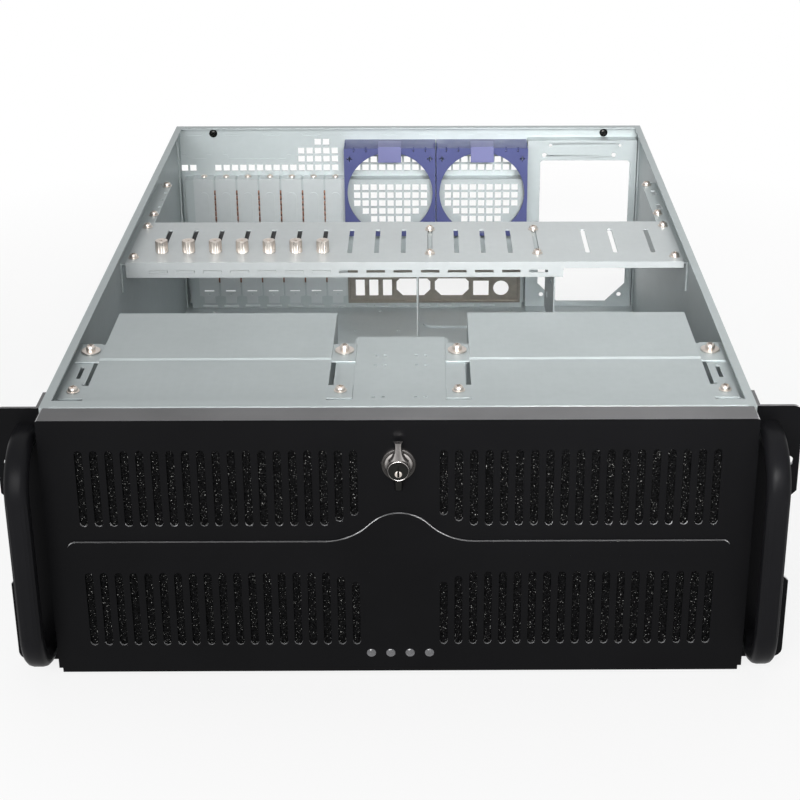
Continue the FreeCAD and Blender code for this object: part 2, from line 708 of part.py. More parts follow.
def make_tub():
    """Floor and side walls, folded from one sheet with a hem along each top edge."""
    body = new_body("base_tub")
    wall_top = top - size.sheet
    pad(body, "front", front, rear, outline(
        (-half_width, 0), (half_width, 0), (half_width, top), (hem_edge, top),
        (hem_edge, wall_top), (inner, wall_top), (inner, floor), (-inner, floor),
        (-inner, wall_top), (-hem_edge, wall_top), (-hem_edge, top), (-half_width, top)))
    first_back = rear - size.floor_pad_back
    for pressed in (False, True):
        inset = size.sheet if pressed else as_size(0)
        columns = []
        for column in range(2):
            left = size.floor_pad_left + size.floor_pad_pitch_x * column
            columns.append(rounded(
                left + inset, left + size.floor_pad_width - inset,
                first_back - size.floor_pad_length + inset, first_back - inset,
                size.floor_pad_corner - inset))
        if pressed:
            feature = cut(body, "top", -size.over, size.floor_pad_rise, *columns)
        else:
            feature = pad(body, "top", floor, floor + size.floor_pad_rise, *columns)
        pattern = copies(body, feature, "Y", size.floor_pad_pitch_y, size.floor_pad_rows)
        pattern.Reversed = True
    first_x = size.board_right
    first_y = rear - size.board_back
    holes = []
    for across in (0, size.board_step_x, size.board_span_x):
        for along in (0, size.board_step_y, size.board_span_y):
            holes.append(circle(first_x - across, first_y - along, size.board_hole))
    near_row = rear - size.floor_hole_back
    for x in FLOOR_HOLES_BACK:
        holes.append(circle(as_size(x), near_row, size.floor_hole))
    for x in FLOOR_HOLES_FRONT:
        holes.append(circle(as_size(x), near_row - size.floor_hole_row, size.floor_hole))
    cut(body, "top", -size.over, floor + size.floor_pad_rise + size.over, *holes)


def make_ear(name, side):
    """A rack ear with its flange along the side wall."""
    body = new_body(f"ear_{name}")
    near = half_width
    far = size.rack_width / 2
    low, high = size.ear_foot, top
    waist = far - size.ear_waist
    bend = size.ear_corner
    corners = [
        (near, low),
        (far - bend, low, far - bend, low + bend, 1),
        (far, low + bend),
        (far, size.ear_waist_low),
        (waist, size.ear_waist_low + size.ear_waist),
        (waist, size.ear_waist_high - size.ear_waist),
        (far, size.ear_waist_high),
        (far, high - bend, far - bend, high - bend, 1),
        (far - bend, high),
        (near, high)]
    if side < 0:
        corners = flipped(corners)
    pad(body, "front", front, front + size.ear_sheet, outline(*corners))
    start, end = ordered(side, near, near + size.ear_sheet)
    back = front + size.ear_flange
    pad(body, "side", start, end, outline(
        (front, low), (back - size.ear_flange_cut, low), (back, low + size.ear_flange_cut),
        (back, high - size.ear_flange_cut), (back - size.ear_flange_cut, high), (front, high)))
    slots = []
    middle = size.rack_slot_pitch_x / 2
    for row in range(2):
        height = size.rack_slot_low + size.rack_slot_pitch_z * row
        left, right = ordered(side, middle - size.rack_slot_length / 2, middle + size.rack_slot_length / 2)
        slots.append(flat_slot(left, right, height, size.rack_slot_width))
    cut(body, "front", front - size.over, front + size.ear_sheet + size.over, *slots)
    for height in (size.handle_low, size.handle_high):
        cut(body, "front", front - size.over, front + size.ear_sheet + size.over,
            circle(size.handle_middle * side, height, size.handle_screw))


def flipped(corners):
    """An outline turned over left to right, still drawn the same way round."""
    turned = []
    count = len(corners)
    for index in range(count - 1, -1, -1):
        corner = corners[index]
        before = corners[index - 1]
        spot = (-as_size(corner[0]), corner[1])
        if len(before) > 2:
            spot = spot + (-as_size(before[2]), before[3], before[4])
        turned.append(spot)
    return turned


def make_handle(name, side):
    """A bow handle: a flattened bar bent back to the ear at both ends."""
    body = new_body(f"handle_{name}")
    middle = size.handle_middle * side
    half = size.handle_width / 2
    thick = size.handle_thickness / 2
    start = front
    profile = draw(body, "front", start, [few_faced_bar(
        middle - half, middle + half, size.handle_high - thick, size.handle_high + thick,
        size.handle_corner, whole(size.handle_corner_faces))])
    grip = front - size.handle_reach + thick
    bend = size.handle_bend
    low, high = size.handle_low, size.handle_high
    path = body.newObject("Sketcher::SketchObject", f"{body.Name}_path")
    path.AttachmentSupport = [(origin_part(body, "YZ_Plane"), "")]
    path.MapMode = "FlatFace"
    bind(path, "AttachmentOffset.Base.z", middle)
    add_path(path, [
        (start, high),
        (grip + bend, high, grip + bend, high - bend, 1),
        (grip, high - bend),
        (grip, low + bend, grip + bend, low + bend, 1),
        (grip + bend, low),
        (start, low)])
    pipe = body.newObject("PartDesign::AdditivePipe", f"{body.Name}_pipe")
    pipe.Profile = profile
    pipe.Spine = path
    body.Tip = pipe
    for height in (size.handle_low, size.handle_high):
        cut(body, "front", front - size.handle_screw_depth, front + size.over,
            circle(middle, height, size.handle_screw))


def add_path(sketch, corners):
    """Draw an open line of runs and arcs, each corner tied to its sizes."""
    spots = [point(corner[0], corner[1]) for corner in corners]
    edges = []
    ends = []
    for index, corner in enumerate(corners[:-1]):
        if len(corner) == 2:
            edges.append(Part.LineSegment(spots[index], spots[index + 1]))
            ends.append((1, 2))
        else:
            turn = corner[4]
            edges.append(arc_between(
                spots[index], spots[index + 1], point(corner[2], corner[3]), turn))
            ends.append((1, 2) if turn > 0 else (2, 1))
    sketch.addGeometry(edges, False)
    rules = []
    numbers = []
    for index, corner in enumerate(corners):
        edge = min(index, len(edges) - 1)
        place = ends[edge][0] if index < len(edges) else ends[edge][1]
        for kind, number in (("DistanceX", corner[0]), ("DistanceY", corner[1])):
            rules.append(Sketcher.Constraint(kind, -1, 1, edge, place, as_size(number).value))
            numbers.append(number)
        if 0 < index < len(edges):
            rules.append(Sketcher.Constraint(
                "Coincident", index - 1, ends[index - 1][1], index, ends[index][0]))
            numbers.append(None)
        if len(corner) > 2:
            rules.append(Sketcher.Constraint("DistanceX", -1, 1, index, 3, as_size(corner[2]).value))
            numbers.append(corner[2])
    add_rules(sketch, rules, numbers)


# ---------------------------------------------------------------- fasteners

def add_screws(body, plane, seat, outward, places, head, rise, shank, length):
    """Screws whose heads rest on one plane: round heads with a shank behind them."""
    heads = [circle(x, y, head) for x, y in places]
    shanks = [circle(x, y, shank) for x, y in places]
    if outward > 0:
        pad(body, plane, seat, seat + rise, *heads)
        pad(body, plane, seat - length, seat, *shanks)
    else:
        pad(body, plane, seat - rise, seat, *heads)
        pad(body, plane, seat, seat + length, *shanks)


def add_flanged_screws(body, seat, places, washer, head, rise):
    """Upright screws with a flange under the head."""
    pad(body, "top", seat, seat + size.washer_sheet, *[circle(x, y, washer) for x, y in places])
    raised = seat + size.washer_sheet
    add_screws(body, "top", raised, 1, places, head, rise, size.screw_shank,
               size.screw_length + size.washer_sheet)


# ---------------------------------------------------------------- front panel and deck

cage_far = size.cage_inner + size.cage_width
cage_top = size.deck_height + size.sheet
cage_low = cage_top - size.cage_height
panel_back = front + size.sheet
bay_height = (size.cage_height - size.sheet * 2) / size.bay_count
control_middle = as_size(0)


def lamp_circles(diameter):
    """One circle for each indicator lamp."""
    count = whole(size.lamp_count)
    return [circle(size.lens_pitch * (index - (count - 1) / 2), size.lens_height, diameter)
            for index in range(count)]


def make_front_panel():
    """The plate behind the door, with an opening for each drive cage."""
    body = new_body("front_panel")
    pad(body, "front", front, panel_back, outline(
        (-inner, floor), (inner, floor), (inner, top - size.sheet), (hem_edge, top - size.sheet),
        (hem_edge, top), (-hem_edge, top), (-hem_edge, top - size.sheet),
        (-inner, top - size.sheet)))
    openings = []
    for name, side in SIDES:
        left, right = ordered(side, size.cage_inner + size.sheet, cage_far - size.sheet)
        openings.append(rectangle(left, right, cage_low + size.sheet, cage_top - size.sheet))
    cut(body, "front", front - size.over, panel_back + size.over, *openings)
    cut(body, "front", front - size.over, panel_back + size.over,
        circle(control_middle, size.button_high, size.button_width + size.button_play * 2),
        circle(control_middle, size.button_low, size.button_small + size.button_play * 2),
        *lamp_circles(size.lens_width))


def make_deck():
    """Rail along the top front edge, folded down into the deck that carries the cages."""
    body = new_body("front_deck")
    deck_low = size.deck_height - size.sheet
    rail_back = front + size.rail_depth
    pad(body, "side", -inner, inner, outline(
        (panel_back, top - size.sheet), (rail_back - size.sheet, top - size.sheet),
        (rail_back - size.sheet, deck_low), (front + size.deck_tongue_depth, deck_low),
        (front + size.deck_tongue_depth, size.deck_height), (rail_back, size.deck_height),
        (rail_back, top), (panel_back, top)))
    gap_near = size.cage_inner - size.cage_side_gap
    gap_far = cage_far + size.cage_side_gap
    beyond = front + size.deck_tongue_depth + size.over
    arm_back = front + size.deck_depth
    tools = []
    for name, side in SIDES:
        left, right = ordered(side, gap_near, gap_far)
        tools.append(rectangle(left, right, panel_back, beyond))
    cut(body, "top", deck_low - size.over, cage_top + size.play, *tools)
    tails = []
    corners = []
    for name, side in SIDES:
        left, right = ordered(side, size.deck_tongue, half_width)
        tails.append(rectangle(left, right, arm_back, beyond))
        left, right = ordered(side, hem_edge, half_width)
        corners.append(rectangle(left, right, front, rail_back + size.over))
    cut(body, "top", deck_low - size.over, cage_top, *tails)
    cut(body, "top", top - size.sheet, top + size.over, *corners)
    holes = []
    for name, side in SIDES:
        for across in (size.cage_inner - size.tab_screw_side, cage_far + size.tab_screw_side):
            for along in (size.front_screw_back, size.clamp_screw_back):
                holes.append(circle(across * side, front + along, size.screw_shank))
        slot_near, slot_far = ordered(
            side, size.deck_arm_slot - size.deck_arm_slot_width / 2,
            size.deck_arm_slot + size.deck_arm_slot_width / 2)
        slot_front = front + size.deck_arm_slot_front
        holes.append(rectangle(slot_near, slot_far, slot_front, slot_front + size.deck_arm_slot_length))
        holes.append(circle(size.deck_arm_hole * side, front + size.deck_arm_hole_back, size.floor_hole))
    cut(body, "top", deck_low - size.over, size.deck_height + size.over, *holes)
    raise_tongue(body, deck_low)


def raise_tongue(body, deck_low):
    """Joggle the middle tongue up and cut its small slits."""
    half = size.cage_inner - size.cage_tab_reach - size.play
    start = front + size.deck_tongue_front
    end = front + size.deck_tongue_depth
    rise = size.deck_tongue_rise
    pad(body, "top", size.deck_height, size.deck_height + rise, rectangle(-half, half, start, end))
    cut(body, "top", deck_low - size.over, deck_low + rise, rectangle(
        size.sheet - half, half - size.sheet, start + size.sheet, end + size.over))
    slits = []
    length = size.deck_slit_width / 2
    for along in (size.deck_slit_first, size.deck_slit_second, size.deck_slit_third):
        for side in (-1, 1):
            for step in (-1, 1):
                x = size.deck_slit_side * side + size.deck_slit_step / 2 * step
                slits.append(rectangle(x - length / 2, x + length / 2, front + along,
                                       front + along + size.deck_slit_height))
    cut(body, "top", deck_low - size.over, size.deck_height + rise + size.over, *slits)


def make_cage(name, side):
    """A folded tube for three drives, with a stepped top and two pairs of tabs."""
    body = new_body(f"drive_cage_{name}")
    back = front + size.cage_back
    left, right = ordered(side, size.cage_inner, cage_far)
    pad(body, "front", panel_back, back, rectangle(left, right, cage_low, cage_top))
    step = front + size.cage_step
    raised = cage_top + size.cage_step_rise
    pad(body, "side", left, right, outline(
        (step, cage_top), (back, cage_top), (back, raised), (step + size.cage_step_run, raised)))
    cut(body, "front", panel_back - size.over, back + size.over, rectangle(
        left + size.sheet, right - size.sheet, cage_low + size.sheet, cage_top - size.sheet))
    cut(body, "top", cage_top - size.sheet - size.over, cage_top - size.sheet + size.cage_step_rise,
        rectangle(left + size.sheet, right - size.sheet, step + size.sheet + size.cage_step_run,
                  back + size.over))
    tabs = []
    for start, length in (
            (size.front_tab_front, size.front_tab_back - size.front_tab_front),
            (size.cage_tab_front, size.cage_tab_length)):
        for low, high in ((left - size.cage_tab_reach, left), (right, right + size.cage_tab_reach)):
            tabs.append(rectangle(low, high, front + start, front + start + length))
    pad(body, "top", size.deck_height, cage_top, *tabs)
    holes = []
    for across in (left - size.tab_screw_side, right + size.tab_screw_side):
        for along in (size.front_screw_back, size.clamp_screw_back):
            holes.append(circle(across, front + along, size.screw_shank))
    cut(body, "top", size.deck_height - size.over, cage_top + size.over, *holes)
    slots = []
    half = size.cage_slot_width / 2
    for bay in range(whole(size.bay_count)):
        middle = cage_low + size.sheet + bay_height * (bay + 0.5)
        for along in (size.cage_slot_first, size.cage_slot_second, size.cage_slot_third):
            slots.append(rectangle(front + along, front + along + size.cage_slot_length,
                                   middle - half, middle + half))
    cut(body, "side", left - size.over, right + size.over, *slots)


def make_cage_screws():
    """Big clamp screws behind and small screws in front, four of each."""
    clamp = new_body("cage_clamp_screws")
    small = new_body("cage_front_screws")
    for body, along, washer, head, rise in (
            (clamp, size.clamp_screw_back, size.clamp_screw_washer, size.clamp_screw_head,
             size.clamp_screw_rise),
            (small, size.front_screw_back, size.screw_washer, size.screw_head, size.screw_rise)):
        places = []
        for name, side in SIDES:
            for across in (size.cage_inner - size.tab_screw_side, cage_far + size.tab_screw_side):
                places.append((across * side, front + along))
        add_flanged_screws(body, cage_top, places, washer, head, rise)


def make_bay_cover(number, side, row):
    """A plastic blank that closes one drive bay: a face with a rim folded back."""
    body = new_body(f"bay_cover_{number}")
    gap = size.bay_cover_gap
    left, right = ordered(side, size.cage_inner + size.sheet + gap, cage_far - size.sheet - gap)
    low = cage_low + size.sheet + bay_height * row + gap
    high = low + bay_height - gap * 2
    deep = front + size.bay_cover_depth
    pad(body, "front", front, deep, rectangle(left, right, low, high))
    lip = size.bay_cover_lip
    cut(body, "front", front + lip, deep + size.over,
        rectangle(left + lip, right - lip, low + lip, high - lip))


# ---------------------------------------------------------------- controls

def make_button(name, width, height):
    """A push button: a round cap with a stop flange behind the panel."""
    body = new_body(name)
    pad(body, "front", front - size.button_proud, panel_back + size.button_length,
        circle(control_middle, height, width))
    pad(body, "front", panel_back, panel_back + size.button_stop,
        circle(control_middle, height, width + size.button_stop_reach * 2))


def make_control_board():
    """Circuit board behind the front panel, with two switches and four lamps."""
    body = new_body("control_board")
    near = panel_back + size.board_off
    half = size.board_width / 2
    pad(body, "front", near, near + size.board_sheet,
        rectangle(-half, half, size.board_low, size.board_high))
    for height, width, travel in (
            (size.button_high, size.button_width, size.button_travel),
            (size.button_low, size.button_small, size.button_small_travel)):
        face = panel_back + size.button_length + travel + size.door_gap
        pad(body, "front", face, near, rectangle(
            -width / 2, width / 2, height - width / 2, height + width / 2))
    pad(body, "front", front + size.play, near, *lamp_circles(size.lens_width - size.play * 2))
    feet = []
    inset = size.board_foot_inset
    for across in (-1, 1):
        for height in (size.board_low + inset, size.board_high - inset):
            feet.append(circle((half - inset) * across, height, size.board_foot))
    pad(body, "front", panel_back, near, *feet)


# ---------------------------------------------------------------- door

door_face = front - size.door_gap - size.door_depth
door_back = front - size.door_gap
door_top = size.door_foot + size.door_height
door_half = size.door_width / 2
skin_back = door_face + size.sheet
hinge_y = front - size.hinge_forward
hinge_side = door_half - size.sheet


def band_outline():
    """The raised band: a long bar that swells into a round boss in the middle."""
    half = size.band_height / 2
    middle = size.band_middle
    reach = root((size.boss_radius + size.boss_blend) * (size.boss_radius + size.boss_blend)
                 - (half + size.boss_blend) * (half + size.boss_blend))
    share = size.boss_radius / (size.boss_radius + size.boss_blend)
    touch_x = reach * share
    touch_z = (half + size.boss_blend) * share
    blend = half + size.boss_blend
    end = size.band_half - half
    return outline(
        (-reach, middle - half, -reach, middle - blend, -1),
        (-touch_x, middle - touch_z, 0, middle, 1),
        (touch_x, middle - touch_z, reach, middle - blend, -1),
        (reach, middle - half),
        (end, middle - half, end, middle, 1),
        (end, middle + half),
        (reach, middle + half, reach, middle + blend, -1),
        (touch_x, middle + touch_z, 0, middle, 1),
        (-touch_x, middle + touch_z, -reach, middle + blend, -1),
        (-reach, middle + half),
        (-end, middle + half, -end, middle, 1),
        (-end, middle - half))


def make_door():
    """The door: a shallow box of sheet steel with vent slots and a raised band."""
    body = new_body("front_door")
    pad(body, "front", door_face, door_back, rounded(
        -door_half, door_half, size.door_foot, door_top, size.door_corner))
    cut(body, "front", skin_back, door_back + size.over, rectangle(
        size.sheet - door_half, door_half - size.sheet, size.door_foot + size.sheet,
        door_top - size.sheet))
    cut(body, "side", -half_width, half_width, rectangle(
        door_back - size.door_relief_depth, door_back + size.over,
        size.door_foot - size.over, size.door_foot + size.door_relief))
    notches = []
    for name, side in SIDES:
        near, far = ordered(side, hinge_side - size.hinge_side_gap - size.ear_sheet - size.hinge_notch,
                            hinge_side)
        notches.append(rectangle(near, far, skin_back, door_back + size.over))
    cut(body, "top", size.door_foot - size.over, size.door_foot + size.sheet, *notches)
    corners = []
    for name, side in SIDES:
        near, far = ordered(side, door_half - size.door_notch, door_half + size.over)
        corners.append(rectangle(near, far, size.door_foot - size.over,
                                 size.door_foot + size.door_notch_height))
    cut(body, "front", door_face - size.over, door_back + size.over, *corners)
    pad(body, "front", door_face - size.band_rise, door_face, band_outline())
    rows = (
        (size.vent_upper_low, size.vent_upper_high, 1, 0),
        (size.vent_lower_low, size.vent_lower_high, 0, 1))
    faces = whole(size.vent_end_faces)
    last = size.vent_inner + size.vent_pitch * (size.vent_count - 1)
    third = size.vent_inner + size.vent_pitch * 2
    regular = []
    special = []
    for low, high, raise_low, drop_high in rows:
        for start in (-last, third):
            regular.append(few_faced_slot(start, low, high, size.vent_width, faces))
        for step, short in ((0, size.vent_short_first), (1, size.vent_short_second)):
            for side in (-1, 1):
                place = (size.vent_inner + size.vent_pitch * step) * side
                special.append(few_faced_slot(
                    place, low + short * raise_low, high - short * drop_high, size.vent_width,
                    faces))
    first = cut(body, "front", door_face - size.over, skin_back + size.over, *regular)
    copies(body, first, "X", size.vent_pitch, size.vent_count - 2)
    cut(body, "front", door_face - size.over, skin_back + size.over, *special)
    cut(body, "front", door_face - size.over, skin_back + size.over,
        circle(as_size(0), size.lock_height, size.lock_barrel), *lamp_circles(size.lens_width))
    cut(body, "side", -half_width, half_width,
        circle(hinge_y, size.hinge_height, size.hinge_pin + size.hinge_play * 2))


def make_filter(name, side):
    """Foam behind the slots, and the plate that holds it against the door."""
    foam = new_body(f"filter_foam_{name}")
    left, right = ordered(side, size.filter_inner, size.filter_outer)
    foam_back = skin_back + size.filter_thickness
    pad(foam, "front", skin_back, foam_back,
        rectangle(left, right, size.filter_low, size.filter_high))
    plate = new_body(f"filter_frame_{name}")
    rim = size.filter_frame_rim
    pad(plate, "front", foam_back, foam_back + size.sheet,
        rectangle(left, right, size.filter_low, size.filter_high))
    middle = (left + right) / 2
    waist = (size.filter_low + size.filter_high) / 2
    windows = []
    for low, high in ((size.filter_low + rim, waist - rim / 2),
                      (waist + rim / 2, size.filter_high - rim)):
        for near, far in ((left + rim, middle - rim / 2), (middle + rim / 2, right - rim)):
            windows.append(rounded(near, far, low, high, size.filter_corner))
    cut(plate, "front", foam_back - size.over, foam_back + size.sheet + size.over, *windows)


def make_lenses():
    """Four clear lenses pressed through the door."""
    body = new_body("indicator_lenses")
    pad(body, "front", door_face - size.lens_rise, skin_back + size.lens_length,
        *lamp_circles(size.lens_width))


def make_hinges():
    """Hinge ears on the front panel and the pins that the door turns on."""
    pins = new_body("hinge_pins")
    for name, side in SIDES:
        ear = new_body(f"hinge_ear_{name}")
        outer = hinge_side - size.hinge_side_gap
        near, far = ordered(side, outer - size.ear_sheet, outer)
        round_off = size.hinge_ear_round
        pad(ear, "side", near, far, outline(
            (front, size.hinge_height + round_off),
            (hinge_y, size.hinge_height + round_off, hinge_y, size.hinge_height, 1),
            (hinge_y, size.hinge_height - round_off),
            (front, size.hinge_height - round_off)))
        left, right = ordered(side, outer - size.hinge_ear_width, outer)
        pad(ear, "front", front - size.ear_sheet, front, rectangle(
            left, right, size.hinge_height - round_off, size.hinge_ear_height))
        cut(ear, "side", near - size.over, far + size.over,
            circle(hinge_y, size.hinge_height, size.hinge_pin))
        start, end = ordered(side, outer - size.ear_sheet - size.sheet, door_half + size.play * 2)
        pad(pins, "side", start, end, circle(hinge_y, size.hinge_height, size.hinge_pin))
        start, end = ordered(
            side, outer - size.ear_sheet - size.sheet, outer - size.ear_sheet)
        pad(pins, "side", start, end, circle(hinge_y, size.hinge_height, size.hinge_pin_head))


def make_lock():
    """Lock: a housing in the door, its nut, and the lever, core and cam that turn."""
    height = size.lock_height
    flange_face = door_face - size.lock_flange_rise
    barrel_back = skin_back + size.lock_barrel_length
    housing = new_body("lock_housing")
    pad(housing, "front", flange_face, door_face, circle(as_size(0), height, size.lock_flange))
    pad(housing, "front", door_face, barrel_back, circle(as_size(0), height, size.lock_barrel))
    cut(housing, "front", flange_face - size.over, barrel_back + size.over,
        circle(as_size(0), height, size.lock_core + size.lock_play * 2))
    nut = new_body("lock_nut")
    across = size.lock_nut_width / 2
    slant = size.lock_nut_width / root(as_size(3))
    pad(nut, "front", skin_back, skin_back + size.lock_nut_height, outline(
        (slant, height), (slant / 2, height + across), (-slant / 2, height + across),
        (-slant, height), (-slant / 2, height - across), (slant / 2, height - across)))
    cut(nut, "front", skin_back - size.over, skin_back + size.lock_nut_height + size.over,
        circle(as_size(0), height, size.lock_barrel))
    lever = new_body("lock_lever")
    gap = size.door_gap
    lever_back = flange_face - gap
    neck = size.lock_lever_neck / 2
    tip = size.lock_lever_tip / 2
    tail = height - size.lock_lever_down
    neck_height = height + size.lock_neck_height
    face = flange_face - size.lock_lever_rise
    pad(lever, "front", face, lever_back, circle(as_size(0), height, size.lock_hub))
    pad(lever, "front", face, lever_back, outline(
        (-neck, tail), (neck, tail), (size.lock_hub / 2 - neck, height), (neck, neck_height),
        (tip, height + size.lock_lever_up), (-tip, height + size.lock_lever_up),
        (-neck, neck_height), (neck - size.lock_hub / 2, height)))
    pad(lever, "front", lever_back, barrel_back + gap, circle(as_size(0), height, size.lock_core))
    cam = new_body("lock_cam")
    half = size.lock_cam_width / 2
    cam_front = barrel_back + gap
    pad(cam, "front", cam_front, cam_front + size.lock_cam_sheet, outline(
        (as_size(0), height - half), (size.lock_cam_length - half, height - half),
        (size.lock_cam_length, height - half / 2), (size.lock_cam_length, height + half),
        (0, height + half, 0, height, 1)))


def make_keeper():
    """Hook on the front panel that the cam turns behind."""
    body = new_body("lock_keeper")
    half = size.keeper_width / 2
    cam_front = skin_back + size.lock_barrel_length + size.door_gap
    lip_back = cam_front - size.door_gap
    low = size.keeper_low
    high = low + size.keeper_height
    pad(body, "side", -half, half, outline(
        (lip_back - size.sheet, low), (lip_back, low), (lip_back, high - size.sheet),
        (front - size.sheet, high - size.sheet), (front - size.sheet, low), (front, low),
        (front, high), (lip_back - size.sheet, high)))


# ---------------------------------------------------------------- card bar and what hangs from it

bar_front = front + size.bar_front
bar_back = bar_front + size.bar_depth
bar_low = size.bar_top - size.sheet
drive_left_wall = size.drive_first - size.sheet
drive_right_wall = size.drive_first + size.drive_width
left_screw_column = size.card_first + size.card_pitch * 10
right_screw_column = size.card_first + size.card_pitch * 14
bar_screw_rows = (bar_front + size.bar_screw_margin, bar_back - size.bar_screw_margin)
pair_rows = (bar_front + size.bar_pair_margin, bar_back - size.bar_pair_margin)


def make_card_bar():
    """The slotted bar that crosses the case over the cards."""
    body = new_body("card_bar")
    pad(body, "side", -size.bar_left, size.bar_right, outline(
        (bar_front, size.bar_top - size.bar_lip), (bar_front + size.sheet, size.bar_top - size.bar_lip),
        (bar_front + size.sheet, bar_low), (bar_back, bar_low), (bar_back, size.bar_top),
        (bar_front, size.bar_top)))
    cut(body, "front", bar_front - size.over, bar_front + size.sheet, rectangle(
        size.bar_lip_change, size.bar_right + size.over, bar_low - size.bar_lip,
        size.bar_top - size.bar_lip_short))
    slot_front = bar_front + size.bar_slot_front
    slot_back = slot_front + size.bar_slot_length
    half = size.bar_slot_width / 2
    first = cut(body, "top", bar_low - size.over, size.bar_top + size.over, rectangle(
        size.card_first - half, size.card_first + half, slot_front, slot_back))
    copies(body, first, "X", size.card_pitch, size.card_count)
    spares = []
    for place in (size.bar_spare_first, size.bar_spare_second, size.bar_spare_third):
        spares.append(upright_slot(place, slot_front, slot_back, size.bar_slot_width))
    cut(body, "top", bar_low - size.over, size.bar_top + size.over, *spares)
    middle = size.bar_top - size.lip_slot_drop
    lip = cut(body, "front", bar_front - size.over, bar_front + size.sheet + size.over, rectangle(
        size.card_first - size.lip_slot_width / 2, size.card_first + size.lip_slot_width / 2,
        middle - size.lip_slot_height / 2, middle + size.lip_slot_height / 2))
    copies(body, lip, "X", size.card_pitch, size.card_count)
    holes = []
    for along in bar_screw_rows:
        for side in (-1, 1):
            holes.append(circle(size.bar_screw_side * side, along, size.screw_shank))
    for along in pair_rows:
        for across in (left_screw_column, right_screw_column):
            holes.append(circle(across, along, size.screw_shank))
    cut(body, "top", bar_low - size.over, size.bar_top + size.over, *holes)


def make_thumbscrews():
    """Knurled screws that press the cards down."""
    body = new_body("card_thumbscrews")
    place = (size.card_first, bar_front + size.thumb_back)
    pad(body, "top", size.bar_top, size.bar_top + size.thumb_height,
        *[circle(size.card_first + size.card_pitch * index, place[1], size.thumb_width)
          for index in range(whole(size.thumb_count))])
    pad(body, "top", bar_low - size.screw_length, size.bar_top,
        *[circle(size.card_first + size.card_pitch * index, place[1], size.screw_shank)
          for index in range(whole(size.thumb_count))])


def make_ledge(name, side):
    """An angle riveted to the side wall, which the bar rests on."""
    body = new_body(f"side_ledge_{name}")
    near, far = ordered(side, inner - size.ledge_width, inner)
    ledge_low = bar_low - size.sheet
    start = bar_front + size.sheet + size.play
    end = front + size.ledge_back
    pad(body, "top", ledge_low, bar_low, rectangle(near, far, start, end))
    wall_near, wall_far = ordered(side, inner - size.sheet, inner)
    pad(body, "top", ledge_low - size.ledge_drop, ledge_low,
        rectangle(wall_near, wall_far, start, end))
    rows = bar_screw_rows + (front + size.ledge_screw_front, front + size.ledge_screw_back)
    cut(body, "top", ledge_low - size.over, bar_low + size.over,
        *[circle(size.bar_screw_side * side, along, size.screw_shank) for along in rows],
        *ledge_openings(side))


def ledge_openings(side):
    """Two windows in the right ledge, three small holes in the left one."""
    places = []
    if side > 0:
        near = inner - size.sheet - size.ledge_window_width
        for index in range(2):
            start = front + size.ledge_window_front + size.ledge_window_pitch * index
            places.append(rectangle(near - size.ledge_window_width / 2, near + size.ledge_window_width / 2,
                                    start, start + size.ledge_window_length))
        return places
    for index in range(3):
        start = front + size.ledge_hole_front + size.ledge_hole_pitch * index
        places.append(rectangle(-size.bar_screw_side, size.ledge_hole - size.bar_screw_side,
                                start, start + size.ledge_hole))
    return places


def make_drive_bracket(name, side):
    """A hanging angle with slots for the side screws of a drive."""
    body = new_body(f"drive_bracket_{name}")
    if side < 0:
        wall_near, wall_far = drive_left_wall, size.drive_first
        flange_near, flange_far = drive_left_wall, size.drive_first + size.drive_flange
        column = left_screw_column
    else:
        wall_near, wall_far = drive_right_wall, drive_right_wall + size.sheet
        flange_near, flange_far = drive_right_wall - size.drive_flange, drive_right_wall + size.sheet
        column = right_screw_column
    flange_low = bar_low - size.sheet
    start = bar_front + size.sheet + size.play
    pad(body, "top", flange_low, bar_low, rectangle(flange_near, flange_far, start, bar_back))
    pad(body, "top", bar_low - size.drive_drop, flange_low,
        rectangle(wall_near, wall_far, start, bar_back))
    cut(body, "top", flange_low - size.over, bar_low + size.over,
        *[circle(column, along, size.screw_shank) for along in pair_rows])
    slots = []
    for row in (1, 2):
        level = bar_low - size.drive_slot_drop * row
        for column in range(2):
            along = bar_front + size.drive_slot_front + size.drive_slot_pitch * column
            slots.append(flat_slot(along, along + size.drive_slot_length, level, size.bar_slot_width))
    cut(body, "side", wall_near - size.over, wall_far + size.over, *slots)


def make_bar_screws():
    """Screws of the bar, the drive brackets and the two spare places on each ledge."""
    body = new_body("bar_screws")
    on_bar = []
    for along in bar_screw_rows:
        for side in (-1, 1):
            on_bar.append((size.bar_screw_side * side, along))
    for along in pair_rows:
        for across in (left_screw_column, right_screw_column):
            on_bar.append((across, along))
    on_ledge = []
    for along in (front + size.ledge_screw_front, front + size.ledge_screw_back):
        for side in (-1, 1):
            on_ledge.append((size.bar_screw_side * side, along))
    for seat, places in ((size.bar_top, on_bar), (bar_low, on_ledge)):
        add_flanged_screws(body, seat, places, size.screw_washer, size.screw_head, size.screw_rise)


# ---------------------------------------------------------------- rear panel

rear_inside = rear - size.sheet
recess_back = rear - size.recess_depth
recess_front = recess_back - size.sheet
recess_low = floor


def grille_holes(places):
    """Square holes with these middles."""
    half = size.grille_hole / 2
    return [rectangle(x - half, x + half, z - half, z + half) for x, z in places]


